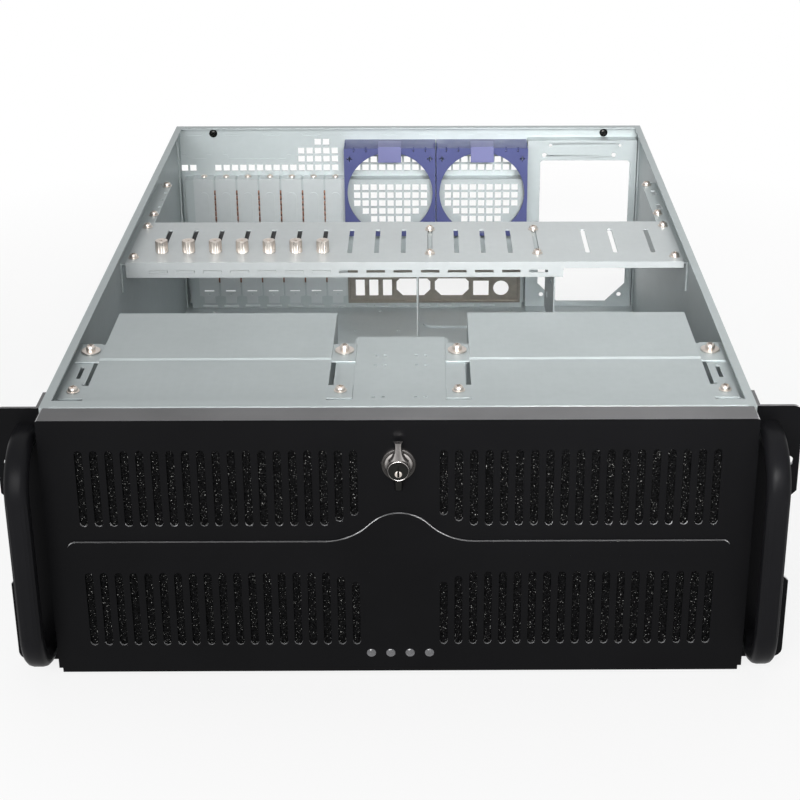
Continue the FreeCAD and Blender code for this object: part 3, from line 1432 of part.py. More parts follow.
def make_rear_panel():
    """The back plate, with the card recess pressed in and its openings."""
    body = new_body("rear_panel")
    wall_top = top - size.sheet
    pad(body, "front", rear_inside, rear, outline(
        (-inner, floor), (inner, floor), (inner, wall_top), (hem_edge, wall_top), (hem_edge, top),
        (-hem_edge, top), (-hem_edge, wall_top), (-inner, wall_top)))
    pad(body, "front", rear_inside - size.rear_lip, rear_inside,
        rectangle(-hem_edge, hem_edge, wall_top, top))
    for name, side in SIDES:
        near, far = ordered(side, inner - size.sheet, inner)
        pad(body, "front", rear_inside - size.rear_flange, rear_inside,
            rectangle(near, far, floor, wall_top))
    pad(body, "front", recess_front, rear_inside,
        rectangle(-size.recess_left, size.recess_right, recess_low, size.recess_height))
    cut(body, "front", recess_back, rear + size.over, rectangle(
        size.sheet - size.recess_left, size.recess_right - size.sheet, recess_low + size.sheet,
        size.recess_height - size.sheet))
    windows = cut(body, "front", recess_front - size.over, recess_back + size.over, rectangle(
        size.cover_first - size.window_width / 2, size.cover_first + size.window_width / 2,
        size.window_low, size.window_high))
    copies(body, windows, "X", size.card_pitch, size.cover_count)
    feet = cut(body, "front", recess_front - size.over, recess_back + size.over, rectangle(
        size.cover_first - size.foot_slot_width / 2, size.cover_first + size.foot_slot_width / 2,
        size.foot_slot_low, size.foot_slot_low + size.foot_slot_height))
    copies(body, feet, "X", size.card_pitch, size.foot_slot_count)
    cut(body, "front", recess_front - size.over, recess_back + size.over, rectangle(
        size.port_left, size.port_left + size.port_width, size.port_low,
        size.port_low + size.port_height))
    cut(body, "front", rear_inside - size.over, rear + size.over, rectangle(
        size.power_left + size.sheet, size.power_right - size.sheet, floor + size.sheet,
        size.power_high - size.sheet))
    row = cut(body, "front", rear_inside - size.over, rear + size.over,
              *grille_holes([(size.grille_left, size.grille_row)]))
    copies(body, row, "X", size.grille_pitch, size.grille_count)
    cut(body, "front", rear_inside - size.over, rear + size.over, *grille_holes(
        [(size.grille_left - size.grille_pitch * step, size.grille_row) for step in BESIDE_ROW]))
    columns = [size.grille_left + size.grille_pitch * step for step in CLUSTER_COLUMNS]
    cluster = [(x, size.grille_row + size.grille_pitch * level) for level in CLUSTER_ROWS for x in columns]
    cluster += [(x, size.grille_row + size.grille_pitch * CLUSTER_CROWN) for x in columns[2:4]]
    cut(body, "front", rear_inside - size.over, rear + size.over, *grille_holes(cluster))
    cut(body, "front", rear_inside - size.over, rear_inside + size.knockout_depth,
        connector_outline(size.knockout_small_left, size.knockout_small_width),
        connector_outline(size.knockout_wide_left, size.knockout_wide_width))
    lances = cut(body, "front", rear_inside - size.over, rear_inside + size.sheet / 2, flat_slot(
        size.lance_first - size.lance_length / 2, size.lance_first + size.lance_length / 2,
        size.lance_level, size.lance_height))
    copies(body, lances, "X", size.lance_pitch, size.lance_count)
    cut(body, "front", rear_inside - size.over, rear + size.over,
        *[circle(size.rear_screw_side * side, size.lance_level, size.screw_shank)
          for side in (-1, 1)])
    make_fan_grilles(body)
    cut(body, "top", size.recess_height - size.sheet - size.over, size.recess_height + size.over,
        *[circle(size.cover_first + size.card_pitch * index, tab_screw_y, size.screw_shank)
          for index in range(whole(size.cover_count))])


def connector_outline(left, width):
    """The shape of a knock-out for a long connector, with slanted ends and two ears."""
    low = size.knockout_low
    high = low + size.knockout_height
    ear = size.knockout_ear
    slant = size.knockout_slant
    right = left + width
    return outline(
        (left + slant, low), (right - slant, low), (right - ear, low + ear),
        (right, low + ear), (right, high - ear), (right - ear, high - ear), (right - ear, high),
        (left + ear, high), (left + ear, high - ear), (left, high - ear), (left, low + ear),
        (left + ear, low + ear))


def make_fan_grilles(body):
    """Square holes in rows behind the fans, as wide as the round bore there."""
    middle_z = size.fan_low + size.fan_rise
    for fan in range(2):
        middle_x = size.fan_left + size.fan_width / 2 + (size.fan_width + size.fan_gap) * fan
        upper = []
        lower = []
        reach = size.fan_bore.value / 2 - size.grille_margin.value
        rows = int(reach // size.grille_pitch.value) + 1
        centre_row = round((middle_z.value - size.grille_row.value) / size.grille_pitch.value)
        for level in range(centre_row - rows, centre_row + rows + 1):
            z = size.grille_row + size.grille_pitch * level
            rise = z.value - middle_z.value
            on_ledge = abs(z.value - size.recess_height.value) < size.grille_ledge.value
            if abs(rise) > reach or on_ledge:
                continue
            half_row = math.sqrt(reach ** 2 - rise ** 2)
            steps = int(half_row // size.grille_pitch.value)
            for step in range(-steps, steps + 1):
                place = (middle_x + size.grille_pitch * step, z)
                if z.value > size.recess_height.value:
                    upper.append(place)
                else:
                    lower.append(place)
        cut(body, "front", rear_inside - size.over, rear + size.over, *grille_holes(upper))
        cut(body, "front", recess_front - size.over, recess_back + size.over, *grille_holes(lower))


def power_opening():
    """Outline of the power supply opening, with its lower corners cut across."""
    left = size.power_hole_left
    right = size.power_hole_right
    low = size.power_hole_low
    high = size.power_hole_high
    chamfer = size.power_hole_chamfer
    bend = size.power_hole_round
    return outline(
        (left + chamfer, low), (right - chamfer, low), (right, low + chamfer),
        (right, high - bend, right - bend, high - bend, 1), (right - bend, high),
        (left + bend, high, left + bend, high - bend, 1), (left, high - bend),
        (left, low + chamfer))


def make_power_plate():
    """The pan round the power supply opening, with rims to the rear panel and a foot."""
    body = new_body("power_supply_plate")
    left, right, high = size.power_left, size.power_right, size.power_high
    pad(body, "front", recess_front, rear_inside, rectangle(left, right, floor, high))
    cut(body, "front", recess_back, rear_inside + size.over, rectangle(
        left + size.sheet, right - size.sheet, floor + size.sheet, high - size.sheet))
    pad(body, "front", recess_front - size.power_foot, recess_front,
        rectangle(left, right, floor, floor + size.sheet))
    cut(body, "front", recess_front - size.over, recess_back + size.over,
        power_opening(), *power_holes())


def power_holes():
    """The four power supply screw holes, the lower pair wider apart, and two rivet holes."""
    left = size.power_screw_left
    rivet = size.power_high - size.power_rivet_drop
    right = left + size.power_screw_span
    low = size.power_screw_high - size.power_screw_drop
    return [
        circle(left, size.power_screw_high, size.power_screw_hole),
        circle(right, size.power_screw_high, size.power_screw_hole),
        circle(left, low, size.power_screw_hole),
        circle(right + size.power_screw_shift, low, size.power_screw_hole),
        circle(size.power_left + size.power_rivet_left, rivet, size.power_rivet),
        circle(size.power_left + size.power_rivet_left + size.power_screw_span, rivet, size.power_rivet)]


cover_y = recess_front - size.cover_sheet
tab_screw_y = rear - size.recess_depth / 2


def make_slot_cover(number):
    """A blank card bracket: a blade with a pressed bead and a tab over the ledge."""
    body = new_body(f"slot_cover_{number}")
    x = size.cover_first + size.card_pitch * (number - 1)
    half = size.cover_width / 2
    tongue = size.cover_tongue / 2
    top_z = size.recess_height + size.cover_sheet
    pad(body, "front", cover_y, recess_front, outline(
        (x - tongue, size.cover_foot), (x + tongue, size.cover_foot),
        (x + tongue, size.cover_shoulder - size.cover_sheet), (x + half, size.cover_shoulder),
        (x + half, top_z), (x - half, top_z), (x - half, size.cover_shoulder),
        (x - tongue, size.cover_shoulder - size.cover_sheet)))
    pad(body, "top", size.recess_height, top_z, rectangle(
        x - half, x + half, recess_front, rear - size.sheet))
    pad(body, "front", cover_y - size.cover_bead_rise, cover_y, upright_slot(
        x, size.cover_bead_low, size.cover_bead_high, size.cover_bead_width))
    cut(body, "front", cover_y, recess_front + size.over, upright_slot(
        x, size.cover_bead_low + size.cover_sheet, size.cover_bead_high - size.cover_sheet,
        size.cover_bead_width - size.cover_sheet * 2))
    cut(body, "top", size.recess_height - size.over, top_z + size.over,
        circle(x, tab_screw_y, size.screw_shank))
    thin = size.cover_hole / 2
    slit = size.cover_slit_width / 2
    cut(body, "front", cover_y - size.over, recess_front + size.over,
        rectangle(x - slit, x + slit, size.cover_slit_height - thin / 2, size.cover_slit_height + thin / 2),
        rectangle(x - thin, x + thin, size.cover_hole_height - thin, size.cover_hole_height + thin))


def make_slot_screws():
    """One screw on the tab of each slot cover."""
    body = new_body("slot_screws")
    seat = size.recess_height + size.cover_sheet
    places = [(size.cover_first + size.card_pitch * index, tab_screw_y)
              for index in range(whole(size.cover_count))]
    add_screws(body, "top", seat, 1, places, size.screw_head, size.slot_screw_rise,
               size.screw_shank, size.screw_length)


def make_strips():
    """Springy shielding strips between the slot covers."""
    body = new_body("shielding_strips")
    half = size.strip_width / 2
    strips = []
    for index in range(whole(size.cover_count) - 1):
        x = size.cover_first + size.card_pitch * (index + 0.5)
        strips.append(rectangle(x - half, x + half, size.strip_low, size.strip_high))
    pad(body, "front", cover_y - size.cover_bead_rise, recess_front, *strips)


def make_port_shield():
    """Thin sprung plate round the board's sockets, with stamped openings."""
    body = new_body("port_shield")
    rim = size.port_rim
    left = size.port_left - rim
    right = size.port_left + size.port_width + rim
    low = size.port_low - rim
    high = size.port_low + size.port_height + rim
    near = recess_front - size.port_sheet
    pad(body, "front", near - size.port_dish, recess_front, rectangle(left, right, low, high))
    cut(body, "front", near, recess_front + size.over, rectangle(
        left + rim, right - rim, low + rim, high - rim))
    cut(body, "front", near - size.port_dish - size.over, near - size.port_sheet, rectangle(
        left + rim, right - rim, low + rim, high - rim))
    cut(body, "front", near - size.port_dish - size.over, recess_front + size.over, *socket_holes())


def socket_holes():
    """Three small socket holes, two wide slanted ones, a square one and a round one."""
    base = size.port_low + size.port_margin
    start = size.port_left + size.port_margin
    holes = []
    for index in range(3):
        holes.append(rectangle(start, start + size.port_small, base, base + size.port_small_height))
        start = start + size.port_small + size.port_gap
    high = base + size.port_wide_height
    for index in range(2):
        end = start + size.port_wide
        slant = size.port_wide_slant
        holes.append(outline(
            (start + slant, base), (end - slant, base), (end, base + slant), (end, high - slant / 2),
            (end - slant / 2, high), (start + slant / 2, high), (start, high - slant / 2),
            (start, base + slant)))
        start = end + size.port_gap
    end = start + size.port_square
    holes.append(rectangle(start, end, base, base + size.port_square))
    middle = end + size.port_gap + size.port_square / 2
    holes.append(circle(middle, base + size.port_square / 2, size.port_square))
    return holes


# ---------------------------------------------------------------- fans

def make_fan_bracket(name, index):
    """A moulded cup that holds one fan against the rear panel."""
    body = new_body(f"fan_bracket_{name}")
    left = size.fan_left + (size.fan_width + size.fan_gap) * index
    right = left + size.fan_width
    low = size.fan_low
    high = low + size.fan_height
    middle_x = (left + right) / 2
    middle_z = low + size.fan_rise
    face = rear - size.fan_front
    pad(body, "front", face, recess_front, rounded(left, right, low, high, size.fan_corner))
    pad(body, "front", recess_front, rear_inside,
        rectangle(left, right, size.recess_height, high))
    half = size.fan_pocket / 2
    cut(body, "front", face + size.fan_wall, rear_inside + size.over, rectangle(
        middle_x - half, middle_x + half, middle_z - half, middle_z + half))
    cut(body, "front", face - size.over, face + size.fan_wall + size.over,
        circle(middle_x, middle_z, size.fan_bore), *fan_marks(left, right, high))


def fan_marks(left, right, high):
    """Slits in the bracket's top edge and cross-shaped openings in its upper corners."""
    thin = size.fan_slit / 2
    long = size.fan_mark / 2
    level = high - size.fan_mark_drop
    shapes = []
    for edge, side in ((left, 1), (right, -1)):
        first = edge + size.fan_slit_inset * side
        for x in (first, first + size.fan_slit_step * side):
            shapes.append(rectangle(x - thin, x + thin, high - size.fan_slit_depth, high + size.over))
        x = edge + size.fan_mark * side
        shapes.append(outline(
            (x - long, level - thin), (x - thin, level - thin), (x - thin, level - long),
            (x + thin, level - long), (x + thin, level - thin), (x + long, level - thin),
            (x + long, level + thin), (x + thin, level + thin), (x + thin, level + long),
            (x - thin, level + long), (x - thin, level + thin), (x - long, level + thin)))
    return shapes


def make_clips():
    """Spring clips over the top edge of each fan bracket."""
    body = new_body("fan_clips")
    high = size.fan_low + size.fan_height
    face = rear - size.fan_front
    half = size.clip_width / 2
    for index in range(2):
        middle = size.fan_left + size.fan_width / 2 + (size.fan_width + size.fan_gap) * index
        pad(body, "side", middle - half, middle + half, outline(
            (face - size.clip_sheet, high - size.clip_drop), (face, high - size.clip_drop),
            (face, high), (recess_front, high), (recess_front, high + size.clip_sheet),
            (face - size.clip_sheet, high + size.clip_sheet)))


# ---------------------------------------------------------------- remaining fasteners

def make_rear_screws():
    """Two dark screws in the rear panel's top strip."""
    body = new_body("rear_screws")
    places = [(size.rear_screw_side * side, size.lance_level) for side in (-1, 1)]
    add_screws(body, "front", rear_inside, -1, places, size.rear_screw_head, size.screw_rise,
               size.screw_shank, size.sheet)


def make_handle_screws():
    """Screws through the ears into the feet of the handles."""
    body = new_body("handle_screws")
    places = []
    for side in (-1, 1):
        for height in (size.handle_low, size.handle_high):
            places.append((size.handle_middle * side, height))
    seat = front + size.ear_sheet
    add_screws(body, "front", seat, 1, places, size.handle_screw_head, size.handle_screw_rise,
               size.handle_screw, size.ear_sheet + size.handle_screw_depth)


def finish():
    """Check every object, then write one file for each piece."""
    doc.recompute()
    for thing in doc.Objects:
        if "Invalid" in thing.State or "Error" in thing.State:
            raise RuntimeError(f"{thing.Name} failed: {thing.State}")
    for body in doc.findObjects("PartDesign::Body"):
        shape = body.Shape
        if shape.isNull() or not shape.isValid():
            raise RuntimeError(f"{body.Label} has no valid shape")
        print(body.Label, len(shape.Solids), round(shape.Volume))
        shape.exportStep(f"parts/{body.Label}.step")


make_tub()
make_front_panel()
make_deck()
make_control_board()
make_button("power_button", size.button_width, size.button_high)
make_button("reset_button", size.button_small, size.button_low)
make_cage_screws()
make_door()
make_lenses()
make_hinges()
make_lock()
make_keeper()
make_card_bar()
make_thumbscrews()
make_bar_screws()
make_rear_panel()
make_power_plate()
make_slot_screws()
make_strips()
make_port_shield()
make_clips()
make_rear_screws()
make_handle_screws()
for index, (name, side) in enumerate(SIDES):
    make_ear(name, side)
    make_handle(name, side)
    make_cage(name, side)
    make_filter(name, side)
    make_ledge(name, side)
    make_drive_bracket(name, side)
    make_fan_bracket(name, index)
for row in range(whole(size.bay_count)):
    for column, (name, side) in enumerate(SIDES):
        make_bay_cover(row * 2 + column + 1, side, row)
for number in range(1, whole(size.cover_count) + 1):
    make_slot_cover(number)
finish()
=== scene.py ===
"""Looks of an empty rackmount server case with its lid off.

All lengths are metres, in the frame of the CAD part: +X to the right, the door
facing -Y and +Z up.
"""
import json
import math
import random

import bmesh
import bpy
from mathutils import Matrix, Vector


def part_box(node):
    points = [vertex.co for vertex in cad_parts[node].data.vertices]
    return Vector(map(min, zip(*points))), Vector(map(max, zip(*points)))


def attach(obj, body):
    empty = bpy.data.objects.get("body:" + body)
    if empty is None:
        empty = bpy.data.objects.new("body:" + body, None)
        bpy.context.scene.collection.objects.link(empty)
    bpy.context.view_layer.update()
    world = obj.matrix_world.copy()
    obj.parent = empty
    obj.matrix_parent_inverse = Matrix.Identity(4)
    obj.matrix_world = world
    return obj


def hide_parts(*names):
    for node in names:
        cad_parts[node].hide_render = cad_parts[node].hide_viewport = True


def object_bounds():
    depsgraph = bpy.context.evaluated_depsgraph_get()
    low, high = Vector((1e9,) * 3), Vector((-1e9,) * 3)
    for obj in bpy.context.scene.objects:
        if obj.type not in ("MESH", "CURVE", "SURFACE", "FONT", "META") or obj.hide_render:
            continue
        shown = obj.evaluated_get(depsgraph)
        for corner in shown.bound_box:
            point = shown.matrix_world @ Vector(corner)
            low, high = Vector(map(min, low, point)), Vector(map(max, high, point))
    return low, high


MM = 0.001
WELD = 0.000002
UP = Vector((0, 0, 1))
FORWARD = Vector((0, -1, 0))
BACKWARD = Vector((0, 1, 0))


# ---------------------------------------------------------------- materials

class Paint:
    """A material built from a principled shader and a few texture nodes."""

    def __init__(self, name, colour, roughness, metallic=0.0, **sockets):
        self.material = bpy.data.materials.new(name)
        self.material.use_nodes = True
        self.tree = self.material.node_tree
        self.shader = self.tree.nodes["Principled BSDF"]
        self.colour = colour
        self.shader.inputs["Base Color"].default_value = (*colour, 1)
        self.shader.inputs["Roughness"].default_value = roughness
        self.shader.inputs["Metallic"].default_value = metallic
        for socket, value in sockets.items():
            self.shader.inputs[socket.replace("_", " ").title()].default_value = value
        self.place = self.add("ShaderNodeTexCoord").outputs["Object"]
        self.bumps = None
        self.shade = None

    def add(self, kind, **settings):
        """Add a node and set its own settings."""
        node = self.tree.nodes.new(kind)
        for name, value in settings.items():
            setattr(node, name, value)
        return node

    def link(self, output, target):
        """Join two sockets."""
        self.tree.links.new(output, target)

    def stretched(self, scale):
        """Object coordinates stretched along some axes."""
        mapping = self.add("ShaderNodeMapping")
        mapping.inputs["Scale"].default_value = scale
        self.link(self.place, mapping.inputs["Vector"])
        return mapping.outputs["Vector"]

    def noise(self, size, detail=3.0, stretch=None):
        """Soft noise whose lumps are about this size."""
        node = self.add("ShaderNodeTexNoise")
        node.inputs["Scale"].default_value = 1 / size
        node.inputs["Detail"].default_value = detail
        self.link(self.stretched(stretch) if stretch else self.place, node.inputs["Vector"])
        return node.outputs["Fac"]

    def cells(self, size):
        """Cells of about this size: the distance from their middles."""
        node = self.add("ShaderNodeTexVoronoi", feature="F1")
        node.inputs["Scale"].default_value = 1 / size
        self.link(self.place, node.inputs["Vector"])
        return node.outputs["Distance"]

    def spread(self, source, low, high, start=0.3, end=0.7):
        """Map a grey onto a range."""
        node = self.add("ShaderNodeMapRange")
        node.inputs["From Min"].default_value = start
        node.inputs["From Max"].default_value = end
        node.inputs["To Min"].default_value = low
        node.inputs["To Max"].default_value = high
        self.link(source, node.inputs["Value"])
        return node.outputs["Result"]

    def vary_roughness(self, source, low, high):
        """Let a grey drive the roughness."""
        self.link(self.spread(source, low, high), self.shader.inputs["Roughness"])

    def vary_shade(self, source, amount, start=0.3, end=0.7):
        """Let a grey lighten and darken the colour."""
        node = self.add("ShaderNodeHueSaturation")
        if self.shade is None:
            node.inputs["Color"].default_value = (*self.colour, 1)
        else:
            self.link(self.shade, node.inputs["Color"])
        self.link(self.spread(source, 1 - amount, 1 + amount, start, end), node.inputs["Value"])
        self.shade = node.outputs["Color"]
        self.link(self.shade, self.shader.inputs["Base Color"])

    def blend(self, source, other, start, end):
        """Blend the colour into another where a grey runs from start to end."""
        node = self.add("ShaderNodeMix", data_type="RGBA")
        node.inputs[6].default_value = (*self.colour, 1)
        if self.shade is not None:
            self.link(self.shade, node.inputs[6])
        node.inputs[7].default_value = (*other, 1)
        self.link(self.spread(source, 0, 1, start, end), node.inputs[0])
        self.shade = node.outputs[2]
        self.link(self.shade, self.shader.inputs["Base Color"])

    def normal(self):
        """Which way the surface faces in the object's own frame, as X, Y and Z."""
        parts = self.add("ShaderNodeSeparateXYZ")
        self.link(self.add("ShaderNodeTexCoord").outputs["Normal"], parts.inputs[0])
        return parts.outputs

    def facing_up(self):
        """How far the surface faces up."""
        return self.normal()["Z"]

    def facing_aside(self):
        """How far the surface turns up and aside, away from the front and back."""
        parts = self.normal()
        ahead = self.add("ShaderNodeMath", operation="ABSOLUTE")
        self.link(parts["Y"], ahead.inputs[0])
        lean = self.add("ShaderNodeMath", operation="SUBTRACT")
        self.link(parts["Z"], lean.inputs[0])
        self.link(ahead.outputs[0], lean.inputs[1])
        return lean.outputs[0]

    def bump(self, source, depth, strength=1.0):
        """Raise and lower the surface by a grey."""
        node = self.add("ShaderNodeBump")
        node.inputs["Distance"].default_value = depth
        node.inputs["Strength"].default_value = strength
        self.link(source, node.inputs["Height"])
        if self.bumps is not None:
            self.link(self.bumps, node.inputs["Normal"])
        self.bumps = node.outputs["Normal"]
        self.link(self.bumps, self.shader.inputs["Normal"])


def zinc(name, colour, roughness):
    """Zinc-coated steel: faint crystals, soft clouds and fine grain."""
    paint = Paint(name, colour, roughness, metallic=0.45)
    paint.vary_shade(paint.cells(0.006), 0.02, 0.0, 1.0)
    paint.vary_shade(paint.noise(0.07, detail=5.0), 0.04)
    streaks = paint.noise(0.0015, detail=2.0, stretch=(1.0, 0.04, 1.0))
    paint.vary_roughness(streaks, roughness - 0.015, roughness + 0.02)
    paint.bump(paint.noise(0.0007), 0.00001, 0.5)
    return paint.material


BLACK_GLOSS = 0.06


def powder_coat(name, colour, roughness, grain, edge=None, painted_top_light=None):
    """Black powder coat; where asked, with a painted highlight on its upper edges and painted
    light from above where it faces up.
    """
    paint = Paint(name, colour, roughness)
    paint.shader.inputs["Specular IOR Level"].default_value = BLACK_GLOSS
    if painted_top_light is not None:
        # Painted highlight: pale where the surface turns partly up, along its upper edges.
        paint.blend(paint.facing_up(), edge, 0.3, 0.5)
        # Painted light from above: a lighter grey where the surface faces up.
        paint.blend(paint.facing_up(), painted_top_light, 0.8, 0.95)
    paint.vary_shade(paint.noise(0.06, detail=4.0), 0.12)
    paint.vary_roughness(paint.noise(0.02), roughness - 0.05, roughness + 0.06)
    paint.bump(paint.noise(0.0011, detail=2.0), grain)
    return paint.material


def moulded(name, colour, roughness, grain=0.00003):
    """Moulded plastic with a fine grain."""
    paint = Paint(name, colour, roughness)
    paint.vary_shade(paint.noise(0.03, detail=4.0), 0.06)
    paint.vary_roughness(paint.noise(0.012), roughness - 0.05, roughness + 0.05)
    paint.bump(paint.cells(0.0006), grain, 0.6)
    return paint.material


def plated(name, colour, roughness, grain=0.000008, painted_aside_highlight=None):
    """Bright plating with faint handling marks; where asked, a painted highlight where it turns
    up and aside.
    """
    paint = Paint(name, colour, roughness, metallic=1.0)
    if painted_aside_highlight is not None:
        # Painted highlight: a pale colour where the surface turns up and aside from the front
        # and back.
        paint.blend(paint.facing_aside(), painted_aside_highlight, -1.0, -0.2)
    paint.vary_shade(paint.noise(0.004, detail=4.0), 0.08)
    paint.vary_roughness(paint.noise(0.002), roughness - 0.05, roughness + 0.08)
    paint.bump(paint.noise(0.0004), grain, 0.4)
    return paint.material


def foam(name, colour):
    """Open-cell foam: painted shade in its pores and painted glints on its cell walls."""
    paint = Paint(name, colour, 0.8)
    paint.shader.inputs["Specular IOR Level"].default_value = BLACK_GLOSS
    pores = paint.cells(0.0016)
    # Painted shade: darker towards the middle of each cell, where the pores are.
    paint.vary_shade(pores, 0.9, 0.1, 0.9)
    painted_glints = paint.noise(0.0007, detail=1.0)
    # Painted glints: sparse pale specks where light would catch the cell walls.
    paint.blend(painted_glints, (0.42, 0.42, 0.40), 0.70, 0.76)
    paint.vary_roughness(painted_glints, 0.9, 0.5)
    paint.bump(pores, 0.0012)
    return paint.material


def lens(name, colour):
    """Clear moulded lens over an unlit lamp."""
    paint = Paint(name, colour, 0.18, coat_weight=1.0)
    paint.vary_shade(paint.noise(0.002), 0.18)
    paint.bump(paint.cells(0.0009), 0.0001, 0.5)
    return paint.material


def circuit_board(name, colour):
    """Green solder mask with tracks under it."""
    paint = Paint(name, colour, 0.35)
    tracks = paint.noise(0.003, detail=1.0, stretch=(1.0, 1.0, 0.15))
    paint.vary_shade(tracks, 0.3, 0.45, 0.55)
    paint.bump(tracks, 0.00003)
    return paint.material


def make_materials():
    """One material for each of the record's slots."""
    return {
        "galvanised_steel": zinc("galvanised_steel", (0.40, 0.44, 0.445), 0.5),
        "bright_galvanised_steel": zinc("bright_galvanised_steel", (0.48, 0.51, 0.515), 0.46),
        # Black paint: its pale edge colour is a painted highlight, and its grey top colour is
        # painted light from above.
        "black_paint": powder_coat("black_paint", (0.0035, 0.0035, 0.004), 0.38, 0.00003,
                                   edge=(0.62, 0.62, 0.63), painted_top_light=(0.15, 0.15, 0.153)),
        "black_handle": powder_coat("black_handle", (0.007, 0.007, 0.008), 0.36, 0.00001),
        "black_plastic": moulded("black_plastic", (0.014, 0.014, 0.015), 0.5),
        "blue_plastic": moulded("blue_plastic", (0.047, 0.055, 0.155), 0.45),
        "lavender_plastic": moulded("lavender_plastic", (0.125, 0.13, 0.26), 0.42),
        "filter_foam": foam("filter_foam", (0.0022, 0.0022, 0.0024)),
        "nickel_screw": plated("nickel_screw", (0.66, 0.60, 0.55), 0.32, 0.000003),
        "dark_screw": plated("dark_screw", (0.022, 0.022, 0.021), 0.28, 0.000004),
        # Dark chrome: its pale colour where it turns aside is a painted highlight.
        "dark_chrome": plated("dark_chrome", (0.05, 0.048, 0.046), 0.20, 0.000002,
                              painted_aside_highlight=(0.74, 0.70, 0.68)),
        "copper_strip": plated("copper_strip", (0.17, 0.085, 0.06), 0.45),
        "nickel_shield": plated("nickel_shield", (0.22, 0.20, 0.175), 0.40, 0.000002),
        "clear_lens": lens("clear_lens", (0.07, 0.07, 0.075)),
        "circuit_board": circuit_board("circuit_board", (0.01, 0.10, 0.04)),
    }


# ---------------------------------------------------------------- shapes

class Shape:
    """Points and faces of one piece, gathered bit by bit."""

    def __init__(self):
        self.points = []
        self.faces = []

    def join_rings(self, rings, hollow=False):
        """Skin a stack of rings with the same number of points.

        The stack is closed at both ends or, when hollow, led from its last ring to its first.
        """
        start = len(self.points)
        stack = len(rings)
        count = len(rings[0])
        for ring in rings:
            self.points.extend(ring)
        for level in range(stack if hollow else stack - 1):
            low = start + level * count
            high = start + (level + 1) % stack * count
            for index in range(count):
                after = (index + 1) % count
                self.faces.append((low + index, low + after, high + after, high + index))
        if not hollow:
            last = start + (stack - 1) * count
            self.faces.append(tuple(start + index for index in reversed(range(count))))
            self.faces.append(tuple(last + index for index in range(count)))

    def add_copy(self, other, place, turn):
        """Add another shape, turned and moved."""
        start = len(self.points)
        self.points.extend(place + turn @ Vector(point) for point in other.points)
        self.faces.extend(tuple(start + corner for corner in face) for face in other.faces)

    def mesh(self, name):
        """The shape as a Blender mesh."""
        mesh = bpy.data.meshes.new(name)
        mesh.from_pydata([tuple(point) for point in self.points], [], self.faces)
        mesh.validate()
        mesh.update()
        return mesh


SHARP_ANGLE = math.radians(38)


def add_piece(name, shape, slot, body, *nodes):
    """Show a shape in place of CAD nodes."""
    mesh = shape.mesh(name)
    mesh.shade_smooth()
    mesh.set_sharp_from_angle(angle=SHARP_ANGLE)
    piece = bpy.data.objects.new(name, mesh)
    bpy.context.scene.collection.objects.link(piece)
    mesh.materials.append(materials[slot])
    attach(piece, body)
    if nodes:
        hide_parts(*nodes)


def circle_ring(radius, height, count, teeth=0.0):
    """Points round the Z axis; teeth pull every other pair of points inwards."""
    ring = []
    for index in range(count):
        angle = 2 * math.pi * index / count
        reach = radius - (teeth if index % 4 >= 2 else 0)
        ring.append(Vector((reach * math.cos(angle), reach * math.sin(angle), height)))
    return ring


def revolve(profile, count=40):
    """Turn a profile of radius and height about the Z axis."""
    shape = Shape()
    shape.join_rings([circle_ring(radius, height, count) for radius, height in profile])
    return shape


def block(low, high, taper=0.0):
    """A box whose lower end is narrower by a taper on each side."""
    shape = Shape()
    rings = []
    for height, inset in ((low[2], taper), (high[2], 0.0)):
        left, right = low[0] + inset, high[0] - inset
        near, far = low[1] + inset, high[1] - inset
        rings.append([Vector((left, near, height)), Vector((right, near, height)),
                      Vector((right, far, height)), Vector((left, far, height))])
    shape.join_rings(rings)
    return shape


def carved(shape, *tools):
    """The shape with other shapes cut out of it."""
    target = bpy.data.objects.new("target", shape.mesh("target"))
    bpy.context.scene.collection.objects.link(target)
    cutters = []
    for tool in tools:
        cutter = bpy.data.objects.new("cutter", tool.mesh("cutter"))
        bpy.context.scene.collection.objects.link(cutter)
        modifier = target.modifiers.new("cut", "BOOLEAN")
        modifier.object = cutter
        modifier.solver = "EXACT"
        cutters.append(cutter)
    graph = bpy.context.evaluated_depsgraph_get()
    mesh = target.evaluated_get(graph).to_mesh()
    result = Shape()
    result.points = [vertex.co.copy() for vertex in mesh.vertices]
    result.faces = [tuple(face.vertices) for face in mesh.polygons]
    for thing in (target, *cutters):
        data = thing.data
        bpy.data.objects.remove(thing)
        bpy.data.meshes.remove(data)
    return result


def solids(node):
    """The box of each separate solid of a CAD node, sorted by its lower corner."""
    bm = bmesh.new()
    bm.from_mesh(frame["nodes"][node].data)
    bmesh.ops.remove_doubles(bm, verts=bm.verts, dist=WELD)
    waiting = set(bm.verts)
    boxes = []
    while waiting:
        seed = waiting.pop()
        group = [seed]
        queue = [seed]
        while queue:
            vertex = queue.pop()
            for edge in vertex.link_edges:
                other = edge.other_vert(vertex)
                if other in waiting:
                    waiting.remove(other)
                    group.append(other)
                    queue.append(other)
        low = Vector([min(vertex.co[axis] for vertex in group) for axis in range(3)])
        high = Vector([max(vertex.co[axis] for vertex in group) for axis in range(3)])
        boxes.append((low, high))
    bm.free()
    return sorted(boxes, key=lambda box: tuple(round(value, 4) for value in box[0]))


def turn_to(axis):
    """The rotation that lays the Z axis along another."""
    return UP.rotation_difference(axis).to_matrix()


# ---------------------------------------------------------------- fasteners

CROSS_WIDTH = 0.19
CROSS_REACH = 0.62
CROSS_TAPER = 0.12 * MM


def cross_tools(radius, top, depth):
    """Two crossed tapered blocks that cut a cross recess."""
    half = radius * CROSS_WIDTH
    reach = radius * CROSS_REACH
    return [block((-wide, -long, top - depth), (wide, long, top + depth), CROSS_TAPER)
            for wide, long in ((half, reach), (reach, half))]


